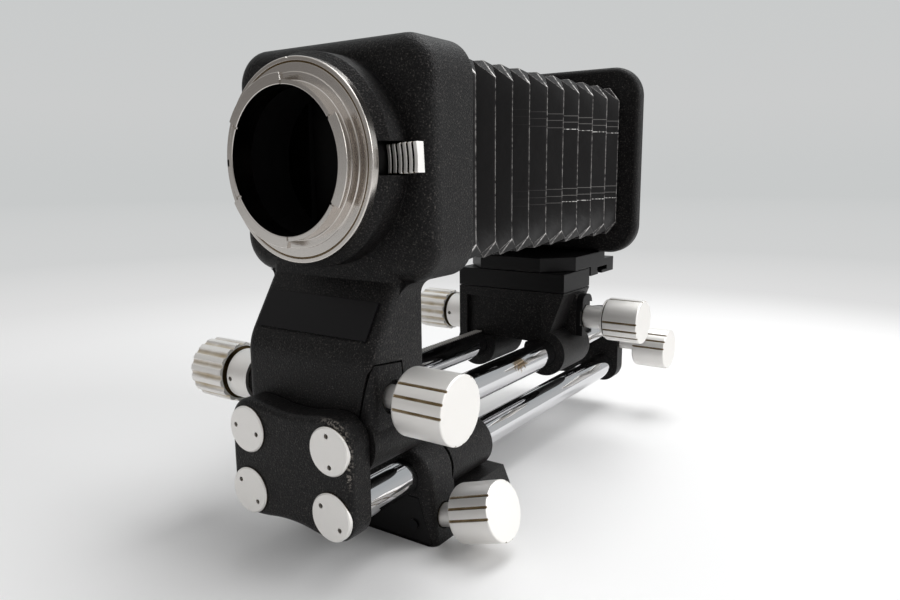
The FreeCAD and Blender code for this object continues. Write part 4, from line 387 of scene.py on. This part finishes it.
def finish_mesh(name, points, faces, material, smooth_angle=32.0, attributes=None):
    """Make a closed mesh of points and faces, its doubles merged and its faces turned outwards."""
    mesh = bpy.data.meshes.new(name)
    mesh.from_pydata(points.reshape(-1, 3).tolist(), [], faces)
    for key, values in (attributes or {}).items():
        mesh.attributes.new(key, "FLOAT", "POINT").data.foreach_set("value", values.ravel())
    shaped = bmesh.new()
    shaped.from_mesh(mesh)
    bmesh.ops.remove_doubles(shaped, verts=shaped.verts, dist=1e-7)
    bmesh.ops.dissolve_degenerate(shaped, edges=shaped.edges, dist=1e-8)
    bmesh.ops.recalc_face_normals(shaped, faces=shaped.faces)
    shaped.to_mesh(mesh)
    shaped.free()
    mesh.materials.append(material)
    mesh.shade_smooth()
    mesh.set_sharp_from_angle(angle=math.radians(smooth_angle))
    made = bpy.data.objects.new(name, mesh)
    scene.collection.objects.link(made)
    return made


def grid_faces(rows, columns, close_rows=False):
    """Quads between neighbouring rows and columns of a grid whose columns close on themselves."""
    below = np.arange(rows if close_rows else rows - 1)
    beside = np.arange(columns)
    low, left = np.meshgrid(below, beside, indexing="ij")
    high = (low + 1) % rows
    right = (left + 1) % columns
    quads = np.stack([low * columns + left, low * columns + right, high * columns + right,
                      high * columns + left], axis=-1)
    return quads.reshape(-1, 4).tolist()


def rounded_path(corners, radii, steps=5, guard=0.12):
    """A path through corners, each rounded by an arc that touches both sides at radius / tan(half angle).

    A guard point just before and after each arc keeps the flat sides flat in the shading."""
    path = []
    count = len(corners)
    for k, radius in enumerate(radii):
        here = np.array(corners[k], float)
        if radius == 0.0 or k in (0, count - 1):
            path.append(here)
            continue
        back = np.array(corners[k - 1], float) - here
        on = np.array(corners[k + 1], float) - here
        room = [np.linalg.norm(side) for side in (back, on)]
        back /= room[0]
        on /= room[1]
        half = math.acos(float(np.clip(back @ on, -1, 1))) / 2
        if half > math.radians(89.0):
            path.append(here)
            continue
        reach = radius / math.tan(half)
        middle = here + (back + on) / np.linalg.norm(back + on) * radius / math.sin(half)
        first = here + back * reach - middle
        last = here + on * reach - middle
        path.append(here + back * (reach + min(guard, 0.3 * (room[0] - reach))))
        for t in np.linspace(0, 1, steps):
            arm = first * (1 - t) + last * t
            path.append(middle + arm / np.linalg.norm(arm) * radius)
        path.append(here + on * (reach + min(guard, 0.3 * (room[1] - reach))))
    return np.array(path)


def milled_radius(angles, rim, groove_radius, depth, middles):
    """How far a milled rim reaches at each angle.

    Across a groove it is the near side of the cutter's circle, whose centre lies at
    c = rim + cutter radius - depth: c cos(a) - sqrt(cutter radius^2 - c^2 sin(a)^2)."""
    centre = rim + groove_radius - depth
    reach = np.full(angles.shape, 10 * rim)
    for middle in middles:
        away = (angles - middle + math.pi) % (2 * math.pi) - math.pi
        inside = groove_radius ** 2 - (centre * np.sin(away)) ** 2
        hit = (inside > 0) & (np.abs(away) < math.pi / 2)
        near = centre * np.cos(away) - np.sqrt(np.clip(inside, 0, None))
        reach = np.where(hit, np.minimum(reach, near), reach)
    return reach


def milled_angles(rim, groove_radius, depth, middles, even=72, across=11):
    """Angles round a rim: evenly spaced ones, and more of them across each groove."""
    centre = rim + groove_radius - depth
    half = math.acos((centre ** 2 + rim ** 2 - groove_radius ** 2) / (2 * centre * rim))
    spread = np.linspace(-1.02, 1.02, across) * half
    near = (np.array(middles)[:, None] + spread[None, :]).ravel()
    base = np.arange(even) * 2 * math.pi / even
    gap = np.abs((base[:, None] - np.array(middles)[None, :] + math.pi) % (2 * math.pi) - math.pi)
    base = base[(gap > half * 1.1).all(axis=1)]
    return np.sort(np.concatenate([base, near]) % (2 * math.pi))


def turned_knob(name, body, start, axis, profile, rim, groove_radius, depth, middles, grime_and_shade=0.55,
                dark_rows=None):
    """A knob turned about an axis and milled along its rim.

    Each point is start + axis s + (Y cos a + (axis x Y) sin a) r, where (s, r) runs along the turned
    profile from the blind bore's end to the middle of the outer face, and r stays inside the milled rim."""
    corners, radii = zip(*profile)
    path = rounded_path(corners, radii)
    angles = milled_angles(rim, groove_radius, depth, middles)
    reach = milled_radius(angles, rim, groove_radius, depth, middles)
    s, r = path[:, :1], path[:, 1:]
    radius = np.where(r <= rim - depth - 0.3, r, np.minimum(r, reach[None, :]))
    axis = np.array(axis, float)
    side = np.array((0.0, 1.0, 0.0))
    up = np.cross(axis, side)
    points = (np.array(start, float) + axis * s[..., None] + radius[..., None]
              * (side * np.cos(angles)[:, None] + up * np.sin(angles)[:, None]))
    # Deeper in a groove the colour is darker: brown oil and painted shade.
    milled = grime_and_shade * np.clip((r - radius) / depth, 0, 1)
    if dark_rows is not None:
        milled = np.maximum(milled, dark_rows(s, r))
    made = finish_mesh(name + "_turned", points * MM, grid_faces(*radius.shape), aluminium,
                       attributes={"milled": milled})
    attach(made, body)
    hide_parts(name)


knob_bore, knob_end_wall = 3.0, 3.0
lock_groove_radius, lock_groove_depth, lock_groove_pitch = 0.45, 0.5, math.radians(22.0)
tripod_lean = math.radians(18.0)
tripod_axis = (math.cos(tripod_lean), 0.0, math.sin(tripod_lean))
washer_rim, washer_end, neck_rim, neck_end = 8.2, 0.75, 7.2, 1.15
lock_knobs = {
    # body: (centre of the inner end, axis, rim, length, degrees from Y to a cluster of grooves)
    "tripod_lock": ((35.3, -17.4, 11.0), tripod_axis, 9.4, 14.95, 152.0),
    "camera_lock": ((32.0, -39.5, 53.4), (1.0, 0.0, 0.0), 10.0, 16.7, 156.0),
    "lens_lock": ((36.9, 91.2, 54.9), (1.0, 0.0, 0.0), 8.95, 15.9, 200.0),
    "accessory_clamp": ((33.4, 140.4, 32.575), (1.0, 0.0, 0.0), 9.2, 15.4, 147.0)}
for body, (start, axis, rim, length, cluster) in lock_knobs.items():
    middles = [math.radians(cluster + 120.0 * turn) + k * lock_groove_pitch
               for turn in range(3) for k in (-1, 0, 1)]
    inner_end, neck = [((0.0, rim), 0.9)], None
    if body == "lens_lock":
        # This knob has a thin washer turned on its inner end, with a narrow neck behind it painted near-black
        # as shade.
        inner_end = [((0.0, washer_rim), 0.2), ((washer_end, washer_rim), 0.15), ((washer_end, neck_rim), 0),
                     ((neck_end, neck_rim), 0), ((neck_end, rim), 0.5)]
        neck = (lambda s, r: (s > 0.6) & (s < 1.2) & (r < 7.6))
    bore_end = length - knob_end_wall
    profile = [((bore_end, 0.0), 0), ((bore_end, knob_bore), 0), ((0.0, knob_bore), 0)]
    profile += inner_end + [((length, rim), 0.4), ((length, 0.0), 0)]
    turned_knob(body + "_knob", body, start, axis, profile, rim, lock_groove_radius, lock_groove_depth,
                middles, dark_rows=neck)

drive_flute_radius, drive_flute_depth, drive_flutes = 1.3, 0.75, 16
drive_middles = [k * 2 * math.pi / drive_flutes for k in range(drive_flutes)]
recess_depth, recess_wall, oily = 1.2, 1.25, 0.62
for body, (start, rim, length) in {"camera_drive": ((-43.7, -35.5, 49.45), 10.3, 15.3),
                                   "lens_drive": ((-40.7, 90.0, 51.2), 9.4, 15.3)}.items():
    # The inner end is counterbored round the bearing sleeve, and the recess is brown with old oil.
    bore_end, recess_rim = length - knob_end_wall, rim - recess_wall
    profile = [((bore_end, 0.0), 0), ((bore_end, knob_bore), 0), ((recess_depth, knob_bore), 0),
               ((recess_depth, recess_rim), 0), ((0.0, recess_rim), 0.1), ((0.0, rim), 0.3),
               ((length, rim), 0.6), ((length, 0.0), 0)]
    turned_knob(body + "_knob", body, start, (-1.0, 0.0, 0.0), profile, rim, drive_flute_radius,
                drive_flute_depth, drive_middles, grime_and_shade=0.3,
                dark_rows=lambda s, r: oily * ((s > 0.25) & (s < 2.0) & (r < rim - 1.2)))

# ------------------------------------------------------------------ bayonet flange
# A chromed brass ring turned with a raised inner step, a thin groove near its rim and a barrel
# that carries three lugs. It is screwed to the rotating sleeve from behind.

mount_z = 120.1
flange_metal, tree, shader = metal("satin_chromed_brass", flange_colour, 0.2)
shader.inputs["Anisotropic"].default_value = 0.75
tree.links.new(node(tree, "Tangent", direction_type="RADIAL", axis="Y").outputs[0], shader.inputs["Tangent"])
# The milled attribute paints the lock pin's recess black and the ring groove dark, as shade.
milled = node(tree, "Attribute", attribute_name="milled").outputs["Fac"]
tone = node(tree, "ValToRGB", {"Fac": milled},
            stops=[(0.0, flange_colour), (0.3, "#8E7A5C"), (0.8, "#060505")])
tree.links.new(tone.outputs["Color"], shader.inputs["Base Color"])
place = node(tree, "TexCoord").outputs["Object"]
centred = node(tree, "Mapping", {"Vector": place, "Location": (0.0, 0.0, -mount_z * MM)}).outputs[0]
rings = node(tree, "TexWave", {"Vector": centred, "Scale": 900.0, "Distortion": 0.6, "Detail": 2.0},
             wave_type="RINGS", rings_direction="Y").outputs[0]
bump = node(tree, "Bump", {"Height": rings, "Strength": 0.5, "Distance": 0.01 * MM})
tree.links.new(bump.outputs[0], shader.inputs["Normal"])


def turned_about_mount(path, angles, shape):
    """Points of a form turned about the mount's axis: (r cos a, y, mount height + r sin a)."""
    y, r = (np.repeat(path[:, k:k + 1], angles.size, axis=1) for k in (0, 1))
    y, r = shape(y, r, np.degrees(angles))
    return np.stack([r * np.cos(angles), y, mount_z + r * np.sin(angles)], axis=-1)


flange_back, flange_front, barrel_front = -47.1, -49.7, -54.3
bore, barrel, lug, rim = 20.55, 21.85, 23.8, 28.5
lug_back = barrel_front + 1.5
notch_depth, pin_recess_start, pin_recess_depth, marked_rim = 0.45, 25.8, 0.15, 27.9
flange_corners = [
    (flange_back, bore), (barrel_front, bore), (barrel_front, barrel), (barrel_front, lug), (lug_back, lug),
    (lug_back, barrel), (flange_front - 0.35, barrel), (flange_front - 0.35, 24.2), (flange_front, 24.35),
    (flange_front, 25.75), (flange_front, 25.85), (flange_front, 26.7), (flange_front + 0.3, 26.85),
    (flange_front + 0.3, 27.15), (flange_front, 27.3), (flange_front, rim), (flange_front + 0.75, rim),
    (flange_back, rim), (flange_back, bore)]
flange_radii = [0, 0.25, 0.1, 0.15, 0.15, 0.1, 0.25, 0.1, 0.05, 0, 0, 0.05, 0.05, 0.05, 0.05, 0.3, 0, 0.1, 0]
flange_path = rounded_path(flange_corners, flange_radii, steps=4)[:-1]


def signed_turn(angles, middle):
    """Degrees from a middle angle, between -180 and 180."""
    return (angles - middle + 180) % 360 - 180


def window(away, half, slope):
    """One inside a half width, down to zero at its edge over the width of a slope."""
    return np.clip((half - away) / slope, 0, 1)


def lugs_and_notches(y, r, angles):
    """Draw the lugs in to the barrel except within 31 degrees of 0, 120 and 240 degrees.

    Each lug ends in a small notch in the barrel's front edge. The lock pin's shallow recess is in the
    face at the left, and a small mark is cut in the rim at the top."""
    away = np.abs(signed_turn((angles * 3) % 360, 0) / 3)
    front_rows = y < lug_back + 0.16
    r = np.where(front_rows & (r > barrel), barrel + (r - barrel) * window(away, 31.5, 0.6), r)
    notch = window(np.abs(away - 32.0), 0.9, 0.2)
    y = np.where(y < barrel_front + notch_depth, y + notch_depth * notch, y)
    on_flange = y > barrel_front + 2
    pin = window(np.abs(signed_turn(angles, 180)), 2.1, 0.15)
    recessed = np.maximum(y, flange_front + pin_recess_depth * pin)
    y = np.where((r > pin_recess_start) & on_flange, recessed, y)
    mark = window(np.abs(signed_turn(angles, 92)), 0.8, 0.2)
    return y, np.where((r > marked_rim) & on_flange, r + (marked_rim - r) * mark, r)


# Degrees round the flange: evenly spaced, and closer at the lugs' ends, the recess and the mark.
even = np.arange(0, 360, 1.5)
features = np.concatenate([np.arange(29, 35, 0.2) + 120 * k for k in range(3)]
                          + [np.arange(-35, -29, 0.2) + 120 * k for k in range(3)]
                          + [np.arange(177, 183, 0.15), np.arange(90, 94, 0.2)]) % 360
flange_angles = np.radians(np.unique(np.round(np.concatenate([even, features]), 3)))
flange_points = turned_about_mount(flange_path, flange_angles, lugs_and_notches)
turns, radii = np.degrees(flange_angles)[None, :], np.repeat(flange_path[:, 1:], flange_angles.size, axis=1)
# The lock pin's shallow recess is painted black for the shade in a deeper slot, and the ring groove is
# painted dark as shade.
in_pin_recess = ((np.abs(signed_turn(turns, 180)) < 2.0) & (radii > pin_recess_start)
                 & (flange_path[:, :1] < flange_front + 0.7))
in_ring_groove = (flange_path[:, :1] > flange_front + 0.2) & (radii > 26.8) & (radii < 27.2)
flange_shade_and_grime = in_pin_recess + 0.5 * in_ring_groove
flange = finish_mesh("bayonet_flange_turned", flange_points * MM,
                     grid_faces(*flange_points.shape[:2], close_rows=True), flange_metal,
                     attributes={"milled": flange_shade_and_grime})
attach(flange, "camera_mount")
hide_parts("bayonet_flange")
dress(flange_metal, "lens_mount_ring")

# ------------------------------------------------------------------ release button
# A bar of aluminium beside the mount, milled with six ribs for the thumb. Its ribs are hollowed a
# little along their length, and the grooves between them are coloured brown as old oil and painted shade.

button_left, button_right, button_face, button_back = 25.8, 36.0, -40.6, -37.3
button_centre, button_middle, button_half = (button_left + button_right) / 2, 120.75, 4.1
button_end_radius, button_hollow = 0.6, 0.45
rib_width, rib_gap, rib_depth, outer_rib_depth, rib_bevel, ribs = 1.19, 0.612, 0.8, 0.9, 0.14, 6
button_turn = math.radians(2.8)
across_button = [(button_left, button_back)]
for k in range(ribs):
    left = button_left + k * (rib_width + rib_gap)
    right = left + rib_width
    left_depth = rib_depth if k else outer_rib_depth
    right_depth = rib_depth if k < ribs - 1 else outer_rib_depth
    across_button += [(left, button_face + left_depth), (left, button_face + rib_bevel),
                      (left + rib_bevel, button_face), (right - rib_bevel, button_face),
                      (right, button_face + rib_bevel), (right, button_face + right_depth)]
across_button = np.array(across_button + [(button_right, button_back)])
upper_rise = np.array([0.3, 0.55, 0.8, 0.88, 0.93, 0.965, 0.99, 1.0])
rise = np.concatenate([-upper_rise[::-1], [0.0], upper_rise])


def thumb_bar(outline, rise):
    """A bar's points: its outline across, carried up its height.

    The face falls back near both ends as a quarter circle, and is hollowed by a depth times one minus
    the square of the height over the half height. The whole bar is turned a little about Y."""
    height = rise[:, None] * button_half
    end = np.clip((np.abs(height) - (button_half - button_end_radius)) / button_end_radius, 0, 1)
    fall = (button_end_radius * (1 - np.sqrt(1 - end ** 2))
            + button_hollow * (1 - (height / button_half) ** 2))
    in_front = outline[None, :, 1] < button_back - 0.1
    y = outline[None, :, 1] + np.where(in_front, fall, 0.0)
    x = np.broadcast_to(outline[None, :, 0], y.shape) - button_centre
    z = np.broadcast_to(height, y.shape)
    turned_x = x * math.cos(button_turn) - z * math.sin(button_turn)
    turned_z = x * math.sin(button_turn) + z * math.cos(button_turn)
    return np.stack([turned_x + button_centre, y, turned_z + button_middle], axis=-1)


button_points = thumb_bar(across_button, rise)
button_rows, button_columns = button_points.shape[:2]
button_faces = grid_faces(button_rows, button_columns)
button_faces += [list(range(button_columns)), list(range((button_rows - 1) * button_columns,
                                                         button_rows * button_columns))]
# The grooves between the ribs are coloured brown: old oil and painted shade.
in_groove = np.clip((across_button[:, 1] - button_face - rib_bevel) / (rib_depth - rib_bevel), 0, 1)
in_groove *= (across_button[:, 0] > button_left + 0.1) & (across_button[:, 0] < button_right - 0.1)
button = finish_mesh("release_button_milled", button_points * MM, button_faces, aluminium,
                     attributes={"milled": 0.5 * np.broadcast_to(in_groove, (button_rows, button_columns))})
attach(button, "release_button")
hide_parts("rotation_release_button")

# ------------------------------------------------------------------ name plate
# A thin aluminium plate enamelled black, set on the slope of the neck and left bare.

enamel, tree, shader = new_material("satin_black_plate_enamel")
shader.inputs["Base Color"].default_value = tint("#0D0C0E")
shader.inputs["Roughness"].default_value = 0.32
shader.inputs["Specular IOR Level"].default_value = 0.15
place = node(tree, "TexCoord").outputs["Object"]
haze = node(tree, "TexNoise", {"Vector": place, "Scale": 900.0, "Detail": 2.0}).outputs[0]
bump = node(tree, "Bump", {"Height": haze, "Strength": 0.3, "Distance": 0.02 * MM,
            "Normal": softened_normal(tree, 0.25 * MM)})
tree.links.new(bump.outputs[0], shader.inputs["Normal"])
dress(enamel, "name_plate")

# ------------------------------------------------------------------ bellows
# A tube of coated cloth folded into ten ridges. Each side is creased in to a valley between ridges,
# and each corner is folded out again, so that three cornered facets stand between the ridges.

ridges = [-8.2, 3.3, 14.0, 25.6, 38.6, 51.6, 64.7, 77.8, 92.0, 105.0]
ridge_side = (34.0, 25.2)
ridge_top = (29.5, 30.7)
valley_side, valley_top = 27.5, 24.2
valley_corner_high, valley_corner_low = (29.4, 29.9), (32.3, -28.7)
cloth_start, cloth_end = -16.2, 107.0
start_fold, end_fold = 0.85, 0.3  # how far the cloth's two ends are from a ridge (0) to a valley (1)
cloth = 0.45
ridge_wear, ridge_wear_reach, corner_wear_reach, crease_wear = 0.62, 0.04, 0.14, 0.5

bellows_cloth, tree, shader = new_material("coated_bellows_cloth")
worn = node(tree, "Attribute", attribute_name="worn").outputs["Fac"]
place = node(tree, "TexCoord").outputs["Object"]
where = node(tree, "SeparateXYZ", {0: place})
grain = node(tree, "TexNoise", {"Vector": place, "Scale": 1600.0, "Detail": 3.0}).outputs[0]
crumple = node(tree, "TexNoise", {"Vector": place, "Scale": 150.0, "Detail": 2.0}).outputs[0]
rub = node(tree, "TexNoise", {"Vector": place, "Scale": 700.0, "Detail": 3.0}).outputs[0]
rubbed = node(tree, "MapRange", {"Value": rub, "From Min": 0.25, "From Max": 0.6}).outputs[0]
share = node(tree, "Math", {0: worn, 1: rubbed}, operation="MULTIPLY").outputs[0]
# The stiffening strips inside end in fine creases, with a faint pale highlight painted along each, stronger
# towards the lens end; two have cracked white near the lens end.
crease_heights = (137.1, 134.8, 132.2, 110.1, 107.5, 105.1)
cracked_heights = (132.2, 105.1)
crease_half_width = 0.12
near_lens = node(tree, "MapRange", {"Value": where.outputs["Y"], "From Min": 15 * MM,
                 "From Max": 60 * MM}).outputs[0]
painted_crease_highlight = node(tree, "Math", {0: near_lens, 1: 0.3}, operation="MULTIPLY").outputs[0]
broken = node(tree, "Mapping", {"Vector": place, "Scale": (1.0, 1.4, 0.3)}).outputs[0]
dashes = node(tree, "TexNoise", {"Vector": broken, "Scale": 900.0, "Detail": 2.0}).outputs[0]
dashes = node(tree, "MapRange", {"Value": dashes, "From Min": 0.46, "From Max": 0.52}).outputs[0]
cracked = node(tree, "MapRange", {"Value": where.outputs["Y"], "From Min": 55 * MM,
               "From Max": 62 * MM}).outputs[0]
cracked = node(tree, "Math", {0: cracked, 1: dashes}, operation="MULTIPLY").outputs[0]
for height in crease_heights:
    crease = node(tree, "Math", {0: where.outputs["Z"], 1: height * MM, 2: crease_half_width * MM},
                  operation="COMPARE").outputs[0]
    lit = painted_crease_highlight
    if height in cracked_heights:
        lit = node(tree, "Math", {0: lit, 1: cracked}, operation="MAXIMUM").outputs[0]
    line = node(tree, "Math", {0: crease, 1: lit}, operation="MULTIPLY").outputs[0]
    share = node(tree, "Math", {0: share, 1: line}, operation="MAXIMUM").outputs[0]
tone = node(tree, "ValToRGB", {"Fac": share}, stops=[(0.0, "#0C0A0B"), (0.12, "#262324"), (0.4, "#82807E"),
            (0.9, "#F0EEEC")])
tree.links.new(tone.outputs["Color"], shader.inputs["Base Color"])
folds = node(tree, "Bump", {"Height": crumple, "Strength": 0.6, "Distance": 0.5 * MM})
bump = node(tree, "Bump", {"Height": grain, "Strength": 0.5, "Distance": 0.07 * MM,
            "Normal": folds.outputs[0]})
tree.links.new(bump.outputs[0], shader.inputs["Normal"])
shader.inputs["Roughness"].default_value = 0.5
shader.inputs["Specular IOR Level"].default_value = 0.25

EDGE_SHARES = np.array([0.0, 0.006, 0.02, 0.06, 0.12])
SIDE_SHARES = np.concatenate([EDGE_SHARES, np.linspace(0.2, 0.8, 11), 1 - EDGE_SHARES[:0:-1]])
CHAMFER_SHARES = np.array([0.0, 0.05, 0.35, 0.65, 0.95])
FOLD_SHARES = np.array([0.0, 0.03, 0.08, 0.16, 0.35, 0.65, 0.84, 0.92, 0.97])


def ridge_and_valley():
    """Matching loops of (x, z) round a ridge and round a valley, and where the loops' corners lie.

    The ridge is an octagon. The valley's sides bow in from its corners over a fifth of their
    length, and all points of a corner facet share the valley's corner."""
    def span(start, end, shares):
        return np.array(start) * (1 - shares[:, None]) + np.array(end) * shares[:, None]

    def dip(start, end, level, axis):
        line = span(start, end, SIDE_SHARES)
        bow = np.clip(np.minimum(SIDE_SHARES, 1 - SIDE_SHARES) / 0.2, 0, 1)
        bow = bow * bow * (3 - 2 * bow)
        line[:, axis] = line[:, axis] * (1 - bow) + level * bow
        return line

    (sx, sz), (tx, tz) = ridge_side, ridge_top
    (hx, hz), (lx, lz) = valley_corner_high, valley_corner_low
    side, cut = SIDE_SHARES, CHAMFER_SHARES
    ridge = [span((sx, sz), (sx, -sz), side), span((sx, -sz), (tx, -tz), cut),
             span((tx, -tz), (-tx, -tz), side), span((-tx, -tz), (-sx, -sz), cut),
             span((-sx, -sz), (-sx, sz), side), span((-sx, sz), (-tx, tz), cut),
             span((-tx, tz), (tx, tz), side), span((tx, tz), (sx, sz), cut)]
    valley = [dip((hx, hz), (lx, lz), valley_side, 0), span((lx, lz), (lx, lz), cut),
              dip((lx, lz), (-lx, lz), -valley_top, 1), span((-lx, lz), (-lx, lz), cut),
              dip((-lx, lz), (-hx, hz), -valley_side, 0), span((-hx, hz), (-hx, hz), cut),
              dip((-hx, hz), (hx, hz), valley_top, 1), span((hx, hz), (hx, hz), cut)]
    # Along a corner facet the rub is strongest at the side's end and fades towards the top's end.
    fade = 1.0 - 0.55 * cut
    corner = np.concatenate([np.append(np.zeros(side.size), run)
                             for run in (fade, fade[::-1], fade, fade[::-1])])
    crease = np.zeros(corner.size)
    starts = np.cumsum([0] + [side.size, cut.size] * 4)[:-1]
    crease[starts] = 1.0
    return np.concatenate(ridge), np.concatenate(valley), corner, crease


ridge_loop, valley_loop, corner_share, crease_share = ridge_and_valley()


def fold_rows(start, end):
    """Places along Y between two fold lines or ends, how far each is from a ridge (0) to a valley (1)."""
    folds = [(cloth_start, start_fold)]
    for k, ridge in enumerate(ridges):
        folds.append((ridge, 0.0))
        if k < len(ridges) - 1:
            folds.append(((ridge + ridges[k + 1]) / 2, 1.0))
    folds.append((cloth_end, end_fold))
    inside = [(y, t) for y, t in folds if start - 1e-6 <= y <= end + 1e-6]
    ys, ts = [], []
    for (y0, t0), (y1, t1) in zip(inside, inside[1:]):
        ys.append(y0 + (y1 - y0) * FOLD_SHARES)
        ts.append(t0 + (t1 - t0) * FOLD_SHARES)
    ys.append([inside[-1][0]])
    ts.append([inside[-1][1]])
    return np.concatenate(ys), np.concatenate(ts)


def bellows_section(name, start, end):
    """One stretch of the bellows as a closed shell.

    A point is the ridge loop's point times (1 - t) plus the valley loop's times t, where t is the
    row's share from ridge to valley, and the inner skin is the same drawn in by the cloth's thickness."""
    y, t = fold_rows(start, end)
    t = t[:, None, None]
    outer = ridge_loop[None] * (1 - t) + valley_loop[None] * t
    inner = outer * (1 - cloth / np.linalg.norm(outer, axis=-1, keepdims=True))
    loops = np.concatenate([outer, inner[::-1]])
    ys = np.concatenate([y, y[::-1]])
    points = np.stack([loops[..., 0], np.broadcast_to(ys[:, None], loops.shape[:2]), mount_z + loops[..., 1]],
                      axis=-1)
    ridge_line = np.clip(1 - t[..., 0] / ridge_wear_reach, 0, 1)
    corner_line = np.clip(1 - t[..., 0] / corner_wear_reach, 0, 1)
    worn_outer = np.maximum(np.maximum(ridge_wear * ridge_line, corner_line * corner_share[None]),
                            crease_wear * crease_share[None])
    worn_values = np.concatenate([worn_outer, np.zeros_like(worn_outer)])
    return finish_mesh(name, points * MM, grid_faces(*points.shape[:2], close_rows=True), bellows_cloth,
                       smooth_angle=20.0, attributes={"worn": worn_values})


# The first section is carried by the rails with a mesh of its own, and the other three have their
# placing baked into their meshes.
seams = [cloth_start, ridges[3], (ridges[6] + ridges[7]) / 2, ridges[8], cloth_end]
sections = [bellows_section("bellows_section_%d" % (k + 1), near, far)
            for k, (near, far) in enumerate(zip(seams, seams[1:]))]
for section in sections:
    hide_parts("bellows")
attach(sections[0], "rails")
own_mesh(sections[0])
bodies = ("rails", "lens_carriage", "swing", "shift")
for section, near_body, far_body, near, far in zip(sections[1:], bodies, bodies[1:], seams[1:], seams[2:]):
    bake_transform(section)
